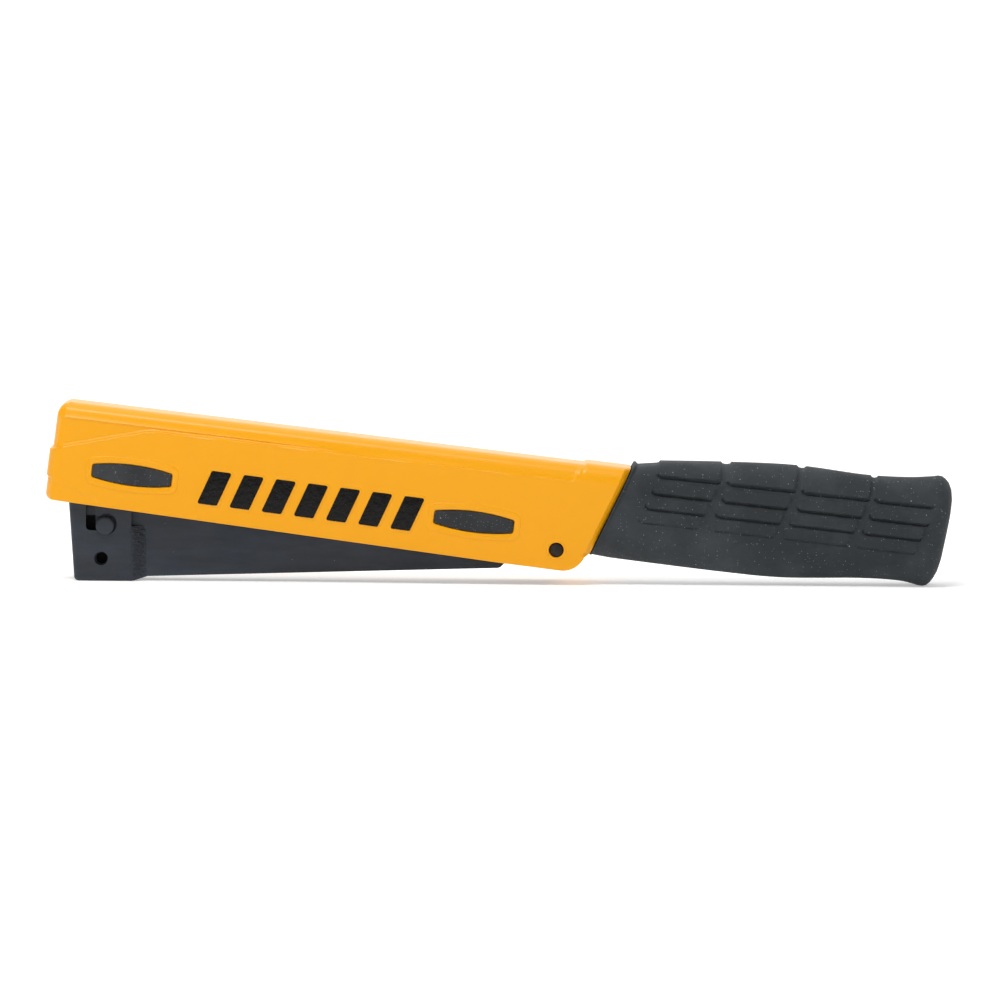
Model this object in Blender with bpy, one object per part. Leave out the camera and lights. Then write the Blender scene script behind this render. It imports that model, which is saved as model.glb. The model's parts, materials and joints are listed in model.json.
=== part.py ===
"""Hammer tacker: a die-cast handle that swings down on a staple magazine and drives one staple a blow.

The tool lies along X with its nose at -X and its butt at +X, and stands on its nose sole and its butt
as it does on a bench, with Z = 0 at the bench. Three frames share one origin, the pivot pin's axis:
the handle frame (its X falls to the rear), the magazine frame (its X rises to the rear) and the level
nose frame. Every outline below is drawn in one of them as (x, z), with y across the tool.
"""

import math

import bmesh
import bpy
from mathutils import Vector

MM = 0.001

# Driving dimensions ---------------------------------------------------------------------------------

PIVOT_X = 21.4 * MM            # pivot pin, from the middle of the tool's length
PIVOT_Z = 13.54 * MM           # pivot pin above the bench
HANDLE_FALL = 7.0              # degrees that the handle falls to the rear at rest
MAGAZINE_RISE = 1.8            # degrees that the magazine rises to the rear at rest

FIT_GAP = 0.3 * MM             # clearance between neighbouring solids

HOUSING_HALF = 16.0 * MM       # half width over the raised side panels
PANEL_PROUD = 0.7 * MM         # height of the raised panels over the casting's core
CAVITY_HALF = 13.0 * MM
ROOF_WALL = 3.3 * MM
FRONT_X = -194.3 * MM          # front face of the core
FRONT_WALL = 3.5 * MM
BAND_PROUD = 1.2 * MM          # raised band round the front
TOP_FRONT_Z = 31.65 * MM
TOP_SLOPE = 0.0083             # rise of the roof line to the rear
BELLY_FRONT_Z = -5.9 * MM
BELLY_REAR_Z = -7.6 * MM
SEAM_FOOT_X = 8.65 * MM        # where the slanted seam would meet the belly line
SEAM_LEAN = 0.34               # x per z along the seam
COLLAR_X = 6.5 * MM            # start of the raised collar in front of the grip
ROOF_RADIUS = 5.0 * MM
CAVITY_REAR_X = 7.5 * MM

PAD_LENGTH = 31.4 * MM
PAD_MID_HEIGHT = 8.5 * MM
PAD_END_HEIGHT = 5.3 * MM
PAD_POCKET = 1.6 * MM
PAD_PROUD = 0.35 * MM
FRONT_PAD_X = -163.3 * MM
FRONT_PAD_Z = 7.3 * MM
REAR_PAD_X = -32.4 * MM
REAR_PAD_Z = 6.6 * MM

BAR_COUNT = 7                  # raised decorative bars on each side
BAR_FIRST_X = -137.5 * MM
BAR_PITCH = 12.3 * MM
BAR_WIDTH = 7.6 * MM
BAR_SLANT = 0.32
BAR_LOW_Z = 0.0 * MM
BAR_HIGH_Z = 13.0 * MM
BAR_PROUD = 0.5 * MM

PIVOT_RADIUS = 2.7 * MM
PIVOT_HALF = 15.5 * MM

CHANNEL_HALF = 7.6 * MM
CHANNEL_WALL = 1.4 * MM
CHANNEL_FRONT_X = -178.6 * MM
CHANNEL_REAR_X = -19.7 * MM
CHANNEL_LOW_Z = -7.0 * MM
CHANNEL_HIGH_Z = 21.0 * MM
CHANNEL_FLOOR_Z = CHANNEL_LOW_Z + 1.2 * MM
CHANNEL_MID_Z = 13.5 * MM

NOSE_HALF = 11.0 * MM
NOSE_WALL = 1.5 * MM
NOSE_REAR_X = -161.5 * MM
NOSE_TOP_Z = 24.0 * MM
NOSE_FRONT_X = -183.2 * MM     # front face at the sole, in the level nose frame
NOSE_LEAN = math.tan(math.radians(4.2))

STAPLE_HALF = 5.5 * MM
STAPLE_WIRE = 0.9 * MM
STAPLE_PITCH = 1.27 * MM
STAPLE_COUNT = 30
STAPLE_LEG_Z = -5.5 * MM
STAPLE_CROWN_Z = 4.5 * MM
STRIP_FRONT_X = -178.4 * MM

RAIL_HALF = 4.3 * MM
RAIL_WALL = 1.1 * MM

BLADE_X = -180.5 * MM
BLADE_THICKNESS = 1.2 * MM
BLADE_TIP_Z = -13.8 * MM
BLADE_TOP_Z = 27.2 * MM
BLADE_SCREW_Z = 21.0 * MM
BLADE_HOLE_RADIUS = 1.9 * MM
BOSS_FRONT_X = -178.9 * MM     # cast boss that the blade is screwed to
BOSS_REAR_X = -171.0 * MM
BOSS_LOW_Z = 14.5 * MM

PUSHER_LENGTH = 22.0 * MM
LUG_LENGTH = 5.0 * MM
ROD_Z = 8.0 * MM
ROD_RADIUS = 1.5 * MM
REAR_BLOCK_X = -48.0 * MM
REAR_BLOCK_LENGTH = 8.0 * MM

NOSE_PIN_LEVEL = (-171.6 * MM, 7.6 * MM)      # nose cross pin, in the level nose frame
NOSE_PIN_X = NOSE_PIN_LEVEL[0] * math.cos(math.radians(MAGAZINE_RISE)) + (
    NOSE_PIN_LEVEL[1] * math.sin(math.radians(MAGAZINE_RISE)))
NOSE_PIN_Z = NOSE_PIN_LEVEL[1] * math.cos(math.radians(MAGAZINE_RISE)) - (
    NOSE_PIN_LEVEL[0] * math.sin(math.radians(MAGAZINE_RISE)))
NOSE_PIN_SHANK = 2.5 * MM
RAIL_FRONT_X = -178.8 * MM

BRACKET_HALF = 5.9 * MM
BRACKET_WALL = 1.2 * MM
BUSH_RADIUS = 4.1 * MM
RIVET_RADIUS = 1.5 * MM
RIVET_HEAD = 2.4 * MM
RIVET_SPOTS = (("rear_rivet", -44.0 * MM, 0.0), ("tail_rivet", -22.5 * MM, -1.5 * MM))

SPRING_X = -110.0 * MM         # return spring
SPRING_RADIUS = 5.2 * MM
SPRING_WIRE = 0.85 * MM
SPRING_TURNS = 6.5
SPIGOT_RADIUS = 3.6 * MM       # cast spigot inside the top of the return spring

BUMPER_FRONT_X = -158.0 * MM
BUMPER_REAR_X = -146.0 * MM
BUMPER_LOW_Z = 17.4 * MM
BUMPER_HALF = 8.5 * MM

STOP_X = -28.0 * MM            # rest-stop pin, behind the rear pads
STOP_Z = 6.0 * MM
STOP_RADIUS = 1.8 * MM

ARC_STEPS = 6
ROUND_SIDES = 28
CUTTER_REACH = 30.0 * MM       # half length of a cutter that goes right through


# Scene helpers --------------------------------------------------------------------------------------

def clear_scene():
    for item in list(bpy.data.objects):
        bpy.data.objects.remove(item, do_unlink=True)


def material(name, colour, roughness, metallic=0.0):
    made = bpy.data.materials.new(name)
    made.use_nodes = True
    shader = made.node_tree.nodes["Principled BSDF"]
    shader.inputs["Base Color"].default_value = (*colour, 1.0)
    shader.inputs["Roughness"].default_value = roughness
    shader.inputs["Metallic"].default_value = metallic
    return made


def frame(name, location, fall_degrees):
    """An empty whose X axis falls to the rear by the given angle."""
    empty = bpy.data.objects.new(name, None)
    empty.location = location
    empty.rotation_euler = (0.0, math.radians(fall_degrees), 0.0)
    bpy.context.scene.collection.objects.link(empty)
    return empty


def place(name, mesh, parent, finish):
    item = bpy.data.objects.new(name, mesh)
    item.parent = parent
    if finish:
        mesh.materials.append(finish)
    bpy.context.scene.collection.objects.link(item)
    return item


def finish_mesh(name, shape):
    bmesh.ops.recalc_face_normals(shape, faces=shape.faces)
    mesh = bpy.data.meshes.new(name)
    shape.to_mesh(mesh)
    shape.free()
    return mesh


def tool(item):
    """Mark an object as a cutter or a guide, which isn't a piece of the tacker."""
    item.hide_render = True
    item.display_type = "WIRE"
    return item


def combine(target, other, operation):
    step = target.modifiers.new(other.name, "BOOLEAN")
    step.operation = operation
    step.object = tool(other)
    step.solver = "EXACT"


def cut(target, *others):
    for other in others:
        combine(target, other, "DIFFERENCE")


def join(target, *others):
    for other in others:
        combine(target, other, "UNION")


def chamfer(item, width, segments=1, angle=35.0):
    step = item.modifiers.new("edges", "BEVEL")
    step.width = width
    step.segments = segments
    step.limit_method = "ANGLE"
    step.angle_limit = math.radians(angle)


# Shape helpers --------------------------------------------------------------------------------------

def rounded(corners, steps=ARC_STEPS):
    """An outline from (x, z, radius) corners, with each radius as an arc between its tangent points."""
    points = []
    count = len(corners)
    for index, (x, z, radius) in enumerate(corners):
        corner = Vector((x, z))
        if radius <= 0.0:
            points.append((x, z))
            continue
        before = (Vector(corners[index - 1][:2]) - corner).normalized()
        after = (Vector(corners[(index + 1) % count][:2]) - corner).normalized()
        half = before.angle(after) / 2.0
        centre = corner + (before + after).normalized() * radius / math.sin(half)
        start = corner + before * radius / math.tan(half) - centre
        end = corner + after * radius / math.tan(half) - centre
        sweep = start.angle_signed(end)
        for step in range(steps + 1):
            turn = -sweep * step / steps
            points.append((
                centre.x + start.x * math.cos(turn) - start.y * math.sin(turn),
                centre.y + start.x * math.sin(turn) + start.y * math.cos(turn),
            ))
    return points


def circle(x, z, radius, sides=ROUND_SIDES):
    turns = [2.0 * math.pi * step / sides for step in range(sides)]
    return [(x + radius * math.cos(turn), z + radius * math.sin(turn)) for turn in turns]


def slot_outline(x_low, x_high, z_low, z_high, radius=0.0):
    return rounded([
        (x_low, z_low, radius), (x_high, z_low, radius), (x_high, z_high, radius), (x_low, z_high, radius),
    ], 3)


def extruded(name, loops, parent, finish):
    """A closed solid through rings of the same length, with flat ends."""
    shape = bmesh.new()
    rings = [[shape.verts.new(point) for point in loop] for loop in loops]
    count = len(rings[0])
    for low, high in zip(rings, rings[1:]):
        for index in range(count):
            following = (index + 1) % count
            shape.faces.new((low[index], low[following], high[following], high[index]))
    shape.faces.new(rings[0])
    shape.faces.new(rings[-1])
    return place(name, finish_mesh(name, shape), parent, finish)


def prism(name, outline, y_low, y_high, parent, finish=None):
    """A side-view outline of (x, z) points, pushed across the tool from y_low to y_high."""
    loops = [[(x, y, z) for x, z in outline] for y in (y_low, y_high)]
    return extruded(name, loops, parent, finish)


def plan_prism(name, outline, z_low, z_high, parent, finish=None):
    """A top-view outline of (x, y) points, pushed up from z_low to z_high."""
    loops = [[(x, y, z) for x, y in outline] for z in (z_low, z_high)]
    return extruded(name, loops, parent, finish)


def box(name, x_low, x_high, half_width, z_low, z_high, parent, finish=None):
    outline = slot_outline(x_low, x_high, z_low, z_high)
    return prism(name, outline, -half_width, half_width, parent, finish)


def turned(name, profile, origin, axis, parent, finish=None, sides=ROUND_SIDES):
    """A solid of revolution from (distance along the axis, radius) points, ends closed by flat discs."""
    along = Vector(axis).normalized()
    side = along.orthogonal().normalized()
    up = along.cross(side)
    loops = []
    for distance, radius in profile:
        centre = Vector(origin) + along * distance
        turns = [2.0 * math.pi * step / sides for step in range(sides)]
        loops.append([centre + (side * math.cos(t) + up * math.sin(t)) * radius for t in turns])
    return extruded(name, loops, parent, finish)


def cross_pin(name, x, z, radius, half_length, parent, finish=None, ends=0.4 * MM, sides=ROUND_SIDES):
    """A round pin across the tool with chamfered ends."""
    profile = [
        (-half_length, radius - ends), (-half_length + ends, radius),
        (half_length - ends, radius), (half_length, radius - ends),
    ]
    if ends <= 0.0:
        profile = [(-half_length, radius), (half_length, radius)]
    return turned(name, profile, (x, 0.0, z), (0.0, 1.0, 0.0), parent, finish, sides)


def bore(body, name, x, z, radius, parent, sides=ROUND_SIDES):
    """Cuts a round hole right across the tool."""
    cut(body, cross_pin(name, x, z, radius, CUTTER_REACH, parent, ends=0.0, sides=sides))


def coil(name, start, axis, mean_radius, wire_radius, length, turns, parent, finish, steps=14):
    """A compression spring whose wire stays inside the given length."""
    along = Vector(axis).normalized()
    side = along.orthogonal().normalized()
    up = along.cross(side)
    curve = bpy.data.curves.new(name, "CURVE")
    curve.dimensions = "3D"
    curve.bevel_depth = wire_radius
    curve.bevel_resolution = 1
    curve.use_fill_caps = True
    curve.materials.append(finish)
    spline = curve.splines.new("POLY")
    count = round(turns * steps) + 1
    spline.points.add(count - 1)
    for index, point in enumerate(spline.points):
        share = index / (count - 1)
        turn = 2.0 * math.pi * turns * share
        rise = wire_radius * 1.2 + (length - wire_radius * 2.4) * share
        around = side * math.cos(turn) + up * math.sin(turn)
        point.co = (*(Vector(start) + along * rise + around * mean_radius), 1.0)
    item = bpy.data.objects.new(name, curve)
    item.parent = parent
    bpy.context.scene.collection.objects.link(item)
    return item


# Handle side ----------------------------------------------------------------------------------------

def roof_z(x):
    return TOP_FRONT_Z + (x - FRONT_X) * TOP_SLOPE


def seam_x(z, offset=0.0):
    return SEAM_FOOT_X + offset + (z - BELLY_REAR_Z) * SEAM_LEAN


def section_prism(name, half_width, proud, radius, x_low, x_high, parent):
    """The housing's cross-section with rounded top edges, swept parallel to the roof line."""
    low = BELLY_REAR_Z - 6.0 * MM
    top = TOP_FRONT_Z + proud
    section = rounded([
        (-half_width, low, 0.0), (half_width, low, 0.0),
        (half_width, top, radius), (-half_width, top, radius),
    ])
    loops = [[(x, y, z + (x - FRONT_X) * TOP_SLOPE) for y, z in section] for x in (x_low, x_high)]
    return extruded(name, loops, parent, None)


def plan_outline(x_front, x_rear, half_width, radius):
    return rounded([
        (x_front, -half_width, radius), (x_rear, -half_width, 0.0),
        (x_rear, half_width, 0.0), (x_front, half_width, radius),
    ])


def housing_core(parent, finish):
    far = seam_x(roof_z(0.0) + 5.0 * MM)
    side = rounded([
        (FRONT_X, TOP_FRONT_Z + 0.05 * MM, 3.8 * MM),
        (FRONT_X, BELLY_FRONT_Z, 2.0 * MM),
        (0.1 * FRONT_X, BELLY_REAR_Z, 0.0),
        (SEAM_FOOT_X, BELLY_REAR_Z, 9.0 * MM),
        (far, roof_z(0.0) + 5.0 * MM, 0.0),
        (FRONT_X + 12.0 * MM, roof_z(FRONT_X + 12.0 * MM) + 0.05 * MM, 0.0),
    ])
    core = prism("housing", side, -HOUSING_HALF, HOUSING_HALF, parent, finish)
    half = HOUSING_HALF - PANEL_PROUD
    combine(core, section_prism(
        "core_section", half, 0.0, ROOF_RADIUS, FRONT_X - 5.0 * MM, far + 9.0 * MM, parent), "INTERSECT")
    combine(core, plan_prism(
        "core_plan", plan_outline(FRONT_X, far + 9.0 * MM, half + 1.0 * MM, 4.0 * MM),
        BELLY_REAR_Z - 9.0 * MM, roof_z(far) + 9.0 * MM, parent), "INTERSECT")
    return core


def raised_skin(parent):
    """The side panels, the collar in front of the grip and the band round the front, in one layer."""
    far = seam_x(roof_z(0.0) + 5.0 * MM)
    front = FRONT_X - BAND_PROUD
    side = rounded([
        (front, 13.6 * MM, 1.2 * MM),
        (front, 4.6 * MM, 0.0),
        (front + 0.7 * MM, 2.9 * MM, 0.0),
        (front + 0.7 * MM, BELLY_FRONT_Z, 2.0 * MM),
        (0.1 * FRONT_X, BELLY_REAR_Z, 0.0),
        (SEAM_FOOT_X, BELLY_REAR_Z, 9.0 * MM),
        (far, roof_z(0.0) + 5.0 * MM, 0.0),
        (COLLAR_X, roof_z(0.0) + 5.0 * MM, 0.0),
        (COLLAR_X, 34.0 * MM, 0.0),
        (3.4 * MM, 26.7 * MM, 1.0 * MM),
        (-158.0 * MM, 23.6 * MM, 14.0 * MM),
    ])
    skin = prism("raised_skin", side, -HOUSING_HALF - 1.0 * MM, HOUSING_HALF + 1.0 * MM, parent)
    combine(skin, section_prism(
        "skin_section", HOUSING_HALF, PANEL_PROUD, ROOF_RADIUS + 0.7 * MM,
        front - 5.0 * MM, far + 9.0 * MM, parent), "INTERSECT")
    combine(skin, plan_prism(
        "skin_plan", plan_outline(front, far + 9.0 * MM, HOUSING_HALF + 1.0 * MM, 5.0 * MM),
        BELLY_REAR_Z - 9.0 * MM, roof_z(far) + 9.0 * MM, parent), "INTERSECT")
    return skin


def bar_outline(index):
    x = BAR_FIRST_X + index * BAR_PITCH
    rise = BAR_HIGH_Z - BAR_LOW_Z
    shift = rise * BAR_SLANT
    return rounded([
        (x, BAR_LOW_Z, 0.6 * MM), (x + BAR_WIDTH, BAR_LOW_Z, 0.6 * MM),
        (x + BAR_WIDTH + shift, BAR_HIGH_Z, 0.6 * MM), (x + shift, BAR_HIGH_Z, 0.6 * MM),
    ], 2)


def pad_outline(x, z, margin=0.0):
    """A barrel: two arcs over the length, cut by flat ends."""
    half = PAD_LENGTH / 2.0 + margin
    mid = PAD_MID_HEIGHT / 2.0 + margin
    end = PAD_END_HEIGHT / 2.0 + margin
    steps = 10
    top = []
    for step in range(steps + 1):
        share = 2.0 * step / steps - 1.0
        top.append((x + half * share, z + mid - (mid - end) * share * share))
    return top + [(px, 2.0 * z - pz) for px, pz in reversed(top)]


def tang_outline(margin=0.0):
    """The casting's tang inside the grip."""
    return rounded([
        (6.0 * MM, 5.0 * MM - margin, 0.0), (40.0 * MM, 7.0 * MM - margin, 30.0 * MM),
        (126.0 * MM + margin, 13.0 * MM - margin, 3.0 * MM),
        (128.0 * MM + margin, 34.0 * MM + margin, 3.0 * MM),
        (40.0 * MM, 29.0 * MM + margin, 30.0 * MM), (6.0 * MM, 27.0 * MM + margin, 0.0),
    ], 3)


def housing(parent, finish):
    body = housing_core(parent, finish)
    join(body, raised_skin(parent))
    for side, sign in (("near", -1.0), ("far", 1.0)):
        wall = sorted((sign * (HOUSING_HALF - 1.0 * MM), sign * (HOUSING_HALF + BAR_PROUD)))
        for index in range(BAR_COUNT):
            join(body, prism(f"bar_{side}_{index}", bar_outline(index), *wall, parent))
    roof = roof_z(FRONT_X) - ROOF_WALL
    rear_roof = roof_z(CAVITY_REAR_X) - ROOF_WALL
    cavity = [
        (FRONT_X + FRONT_WALL, -20.0 * MM), (CAVITY_REAR_X, -20.0 * MM),
        (CAVITY_REAR_X, rear_roof), (FRONT_X + FRONT_WALL, roof),
    ]
    cut(body, prism("cavity", cavity, -CAVITY_HALF, CAVITY_HALF, parent))
    join(body, box("blade_boss", BOSS_FRONT_X, BOSS_REAR_X, STAPLE_HALF, BOSS_LOW_Z, roof + 2.0 * MM, parent))
    spigot = [(0.0, SPIGOT_RADIUS), (5.2 * MM, SPIGOT_RADIUS), (6.0 * MM, SPIGOT_RADIUS - 0.8 * MM)]
    join(body, turned(
        "spring_spigot", spigot, (SPRING_X, 0.0, roof_z(SPRING_X) - ROOF_WALL + 2.0 * MM),
        (0.0, 0.0, -1.0), parent))
    cut(body, turned(
        "screw_hole", [(0.0, BLADE_HOLE_RADIUS), (6.8 * MM, BLADE_HOLE_RADIUS)],
        (-179.5 * MM, 0.0, BLADE_SCREW_Z), (1.0, 0.0, 0.0), parent, sides=16))
    join(body, prism("tang", tang_outline(), -9.0 * MM, 9.0 * MM, parent))
    for sign, side in ((-1.0, "near"), (1.0, "far")):
        wall = sorted((sign * 2.5 * MM, sign * 20.0 * MM))
        pocket = rounded([
            (46.0 * MM, 12.0 * MM, 2.0 * MM), (118.0 * MM, 18.0 * MM, 2.0 * MM),
            (120.0 * MM, 29.0 * MM, 2.0 * MM), (46.0 * MM, 24.0 * MM, 2.0 * MM),
        ], 2)
        cut(body, prism(f"tang_pocket_{side}", pocket, *wall, parent))
        floor = sorted((sign * (HOUSING_HALF - PAD_POCKET), sign * 20.0 * MM))
        for name, x, z in (("front", FRONT_PAD_X, FRONT_PAD_Z), ("rear", REAR_PAD_X, REAR_PAD_Z)):
            cut(body, prism(f"pad_pocket_{name}_{side}", pad_outline(x, z, FIT_GAP), *floor, parent))
    bore(body, "pivot_bore", 0.0, 0.0, PIVOT_RADIUS + FIT_GAP, parent)
    bore(body, "stop_bore", STOP_X, STOP_Z, STOP_RADIUS + FIT_GAP, parent, sides=16)
    return body


GRIP_STATIONS = (
    # bottom x, bottom z, top x, top z, half width, in millimetres
    (12.9, -0.8, 25.4, 36.2, 15.2),
    (24.7, -1.1, 36.5, 37.9, 15.4),
    (64.9, -1.1, 62.0, 40.9, 15.2),
    (87.7, -0.2, 87.0, 42.9, 15.0),
    (116.0, 3.3, 113.0, 42.7, 15.2),
    (131.0, 4.3, 129.0, 43.8, 15.9),
    (138.6, 3.47, 139.0, 45.4, 16.6),
)
GRIP_END = (
    (141.6, 3.77, 142.6, 45.9, 16.5),
    (144.2, 7.4, 145.8, 43.6, 14.9),
    (145.8, 11.5, 147.4, 38.5, 11.5),
)
GRIP_SIDES = 36
GRIP_SQUARENESS = 2.5


def catmull(values, place_on):
    """A smooth value between evenly spaced stations."""
    last = len(values) - 1
    index = min(int(place_on), last - 1)
    share = place_on - index
    before = values[max(index - 1, 0)]
    low, high = values[index], values[index + 1]
    after = values[min(index + 2, last)]
    return 0.5 * (
        2.0 * low + (high - before) * share
        + (2.0 * before - 5.0 * low + 4.0 * high - after) * share ** 2
        + (3.0 * low - before - 3.0 * high + after) * share ** 3
    )


def grip_ring(station, squareness=GRIP_SQUARENESS):
    bottom_x, bottom_z, top_x, top_z, half_width = (value * MM for value in station)
    ring = []
    for step in range(GRIP_SIDES):
        turn = 2.0 * math.pi * step / GRIP_SIDES
        across = math.copysign(abs(math.cos(turn)) ** (2.0 / squareness), math.cos(turn))
        up = math.copysign(abs(math.sin(turn)) ** (2.0 / squareness), math.sin(turn))
        share = 0.5 + 0.5 * up
        ring.append((
            bottom_x + (top_x - bottom_x) * share,
            half_width * across,
            bottom_z + (top_z - bottom_z) * share,
        ))
    return ring


def grip(parent, finish):
    rings = []
    steps = 2
    for step in range((len(GRIP_STATIONS) - 1) * steps + 1):
        station = [catmull(column, step / steps) for column in zip(*GRIP_STATIONS)]
        squareness = GRIP_SQUARENESS + 2.5 * max(0.0, 1.0 - step / (2.0 * steps))
        rings.append(grip_ring(station, squareness))
    rings += [grip_ring(station) for station in GRIP_END]
    sleeve = extruded("grip", rings, parent, finish)
    cut(sleeve, prism("grip_bore", tang_outline(FIT_GAP), -9.0 * MM - FIT_GAP, 9.0 * MM + FIT_GAP, parent))
    return sleeve


def side_pads(parent, finish):
    spots = (("front", FRONT_PAD_X, FRONT_PAD_Z), ("rear", REAR_PAD_X, REAR_PAD_Z))
    for name, x, z in spots:
        for side, sign in (("near", -1.0), ("far", 1.0)):
            depth = sorted((sign * (HOUSING_HALF - PAD_POCKET + FIT_GAP), sign * (HOUSING_HALF + PAD_PROUD)))
            prism(f"side_pad_{name}_{side}", pad_outline(x, z), *depth, parent, finish)


def driver(parent, blade_finish, screw_finish):
    half = BLADE_THICKNESS / 2.0
    blade = prism("driver_blade", [
        (BLADE_X - half, BLADE_TIP_Z), (BLADE_X + half, BLADE_TIP_Z),
        (BLADE_X + half, BLADE_TOP_Z), (BLADE_X - half, BLADE_TOP_Z),
    ], -STAPLE_HALF, STAPLE_HALF, parent, blade_finish)
    hole = [(-5.0 * MM, BLADE_HOLE_RADIUS), (5.0 * MM, BLADE_HOLE_RADIUS)]
    cut(blade, turned("blade_hole", hole, (BLADE_X, 0.0, BLADE_SCREW_Z), (1.0, 0.0, 0.0), parent, sides=16))
    screw = [
        (-3.0 * MM, 2.2 * MM), (-2.5 * MM, 3.2 * MM), (-1.7 * MM, 3.5 * MM), (-0.95 * MM, 3.5 * MM),
        (-0.94 * MM, 1.6 * MM), (7.0 * MM, 1.6 * MM),
    ]
    item = turned(
        "driver_screw", screw, (BLADE_X, 0.0, BLADE_SCREW_Z), (1.0, 0.0, 0.0), parent, screw_finish, 24)
    cut(item, turned(
        "screw_socket", [(-4.0 * MM, 1.4 * MM), (-1.8 * MM, 1.4 * MM)], (BLADE_X, 0.0, BLADE_SCREW_Z),
        (1.0, 0.0, 0.0), parent, sides=6))


def handle_pins(parent, pin_finish, clip_finish):
    cross_pin("pivot_pin", 0.0, 0.0, PIVOT_RADIUS, PIVOT_HALF, parent, pin_finish)
    stop_half = HOUSING_HALF - PAD_POCKET - 0.1 * MM
    cross_pin("stop_pin", STOP_X, STOP_Z, STOP_RADIUS, stop_half, parent, pin_finish)
    for side, sign in (("near", -1.0), ("far", 1.0)):
        depth = sorted((sign * 12.1 * MM, sign * 12.7 * MM))
        clip = prism(f"pivot_clip_{side}", circle(0.0, 0.0, 4.8 * MM, 24), *depth, parent, clip_finish)
        bore(clip, f"clip_hole_{side}", 0.0, 0.0, PIVOT_RADIUS + 0.1 * MM, parent)


def bumper(parent, finish):
    """The rubber block under the roof that the channel's step stops against."""
    roof = roof_z((BUMPER_FRONT_X + BUMPER_REAR_X) / 2.0) - ROOF_WALL
    outline = slot_outline(BUMPER_FRONT_X, BUMPER_REAR_X, BUMPER_LOW_Z, roof - FIT_GAP - 0.1 * MM, 1.5 * MM)
    prism("roof_bumper", outline, -BUMPER_HALF, BUMPER_HALF, parent, finish)


def return_spring(parent, finish):
    top = roof_z(SPRING_X) - ROOF_WALL - FIT_GAP
    seat = 0.4 * MM
    coil("return_spring", (SPRING_X, 0.0, seat), (0.0, 0.0, 1.0), SPRING_RADIUS, SPRING_WIRE,
         top - seat, SPRING_TURNS, parent, finish)


# Magazine side --------------------------------------------------------------------------------------

def channel(parent, level, finish):
    """A folded steel channel, open at the top, whose floor ends where the nose wrap's sole begins."""
    side = rounded([
        (CHANNEL_FRONT_X, CHANNEL_LOW_Z, 0.0), (CHANNEL_REAR_X, CHANNEL_LOW_Z, 1.5 * MM),
        (CHANNEL_REAR_X, 1.0 * MM, 1.5 * MM), (-50.0 * MM, 2.5 * MM, 4.0 * MM),
        (-60.0 * MM, CHANNEL_MID_Z, 4.0 * MM), (-123.0 * MM, CHANNEL_MID_Z, 20.0 * MM),
        (-152.0 * MM, CHANNEL_HIGH_Z, 10.0 * MM), (CHANNEL_FRONT_X, CHANNEL_HIGH_Z, 2.0 * MM),
    ], 3)
    body = prism("magazine_channel", side, -CHANNEL_HALF, CHANNEL_HALF, parent, finish)
    chamfer(body, 0.9 * MM, 2, 80.0)
    inner = CHANNEL_HALF - CHANNEL_WALL
    cut(body, box("channel_hollow", -200.0 * MM, 0.0, inner, CHANNEL_FLOOR_Z, 40.0 * MM, parent))
    cut(body, box("sole_room", CHANNEL_FRONT_X - 9.0 * MM, NOSE_REAR_X + FIT_GAP, CUTTER_REACH,
                  -PIVOT_Z - 9.0 * MM, -PIVOT_Z + NOSE_WALL + FIT_GAP, level))
    bore(body, "nose_pin_bore", NOSE_PIN_X, NOSE_PIN_Z, NOSE_PIN_SHANK + FIT_GAP, parent, sides=20)
    for name, x, z in RIVET_SPOTS:
        bore(body, f"{name}_bore", x, z, RIVET_RADIUS + FIT_GAP, parent, sides=16)
    return body


def nose_wrap(level, finish):
    """The steel wrap round the channel's front: a front plate, two cheeks and a sole with the staple slot."""
    sole = -PIVOT_Z
    top = NOSE_TOP_Z

    def front_x(z):
        return NOSE_FRONT_X - (z - sole) * NOSE_LEAN

    side = rounded([
        (front_x(sole), sole, 1.5 * MM), (NOSE_REAR_X, sole, 0.0),
        (NOSE_REAR_X, top, 2.0 * MM), (front_x(top), top, 2.0 * MM),
    ], 4)
    body = prism("nose_wrap", side, -NOSE_HALF, NOSE_HALF, level, finish)
    chamfer(body, 1.6 * MM, 3, 80.0)
    hollow = [
        (front_x(sole) + NOSE_WALL, sole + NOSE_WALL), (NOSE_REAR_X + 5.0 * MM, sole + NOSE_WALL),
        (NOSE_REAR_X + 5.0 * MM, top + 5.0 * MM),
        (front_x(top + 5.0 * MM) + NOSE_WALL, top + 5.0 * MM),
    ]
    inner = NOSE_HALF - NOSE_WALL
    cut(body, prism("nose_hollow", hollow, -inner, inner, level))
    slot_rear = RAIL_FRONT_X
    cut(body, box("staple_exit", front_x(sole) + NOSE_WALL, slot_rear, STAPLE_HALF + FIT_GAP,
                  sole - 3.0 * MM, sole + 3.0 * MM, level))
    keyhole = NOSE_PIN_LEVEL
    cut(body, box("hook_leg", keyhole[0] - 7.2 * MM, keyhole[0] - 3.9 * MM, CUTTER_REACH,
                  keyhole[1] - 1.8 * MM, top + 5.0 * MM, level))
    cut(body, box("hook_slot", keyhole[0] - 5.0 * MM, keyhole[0], CUTTER_REACH,
                  keyhole[1] - 1.8 * MM, keyhole[1] + 3.7 * MM, level))
    bore(body, "hook_seat", keyhole[0] + 0.5 * MM, keyhole[1] + 0.6 * MM, 4.0 * MM, level, sides=24)
    bore(body, "cheek_hole", -173.0 * MM, -4.9 * MM, 2.6 * MM, level, sides=24)
    return body


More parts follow.
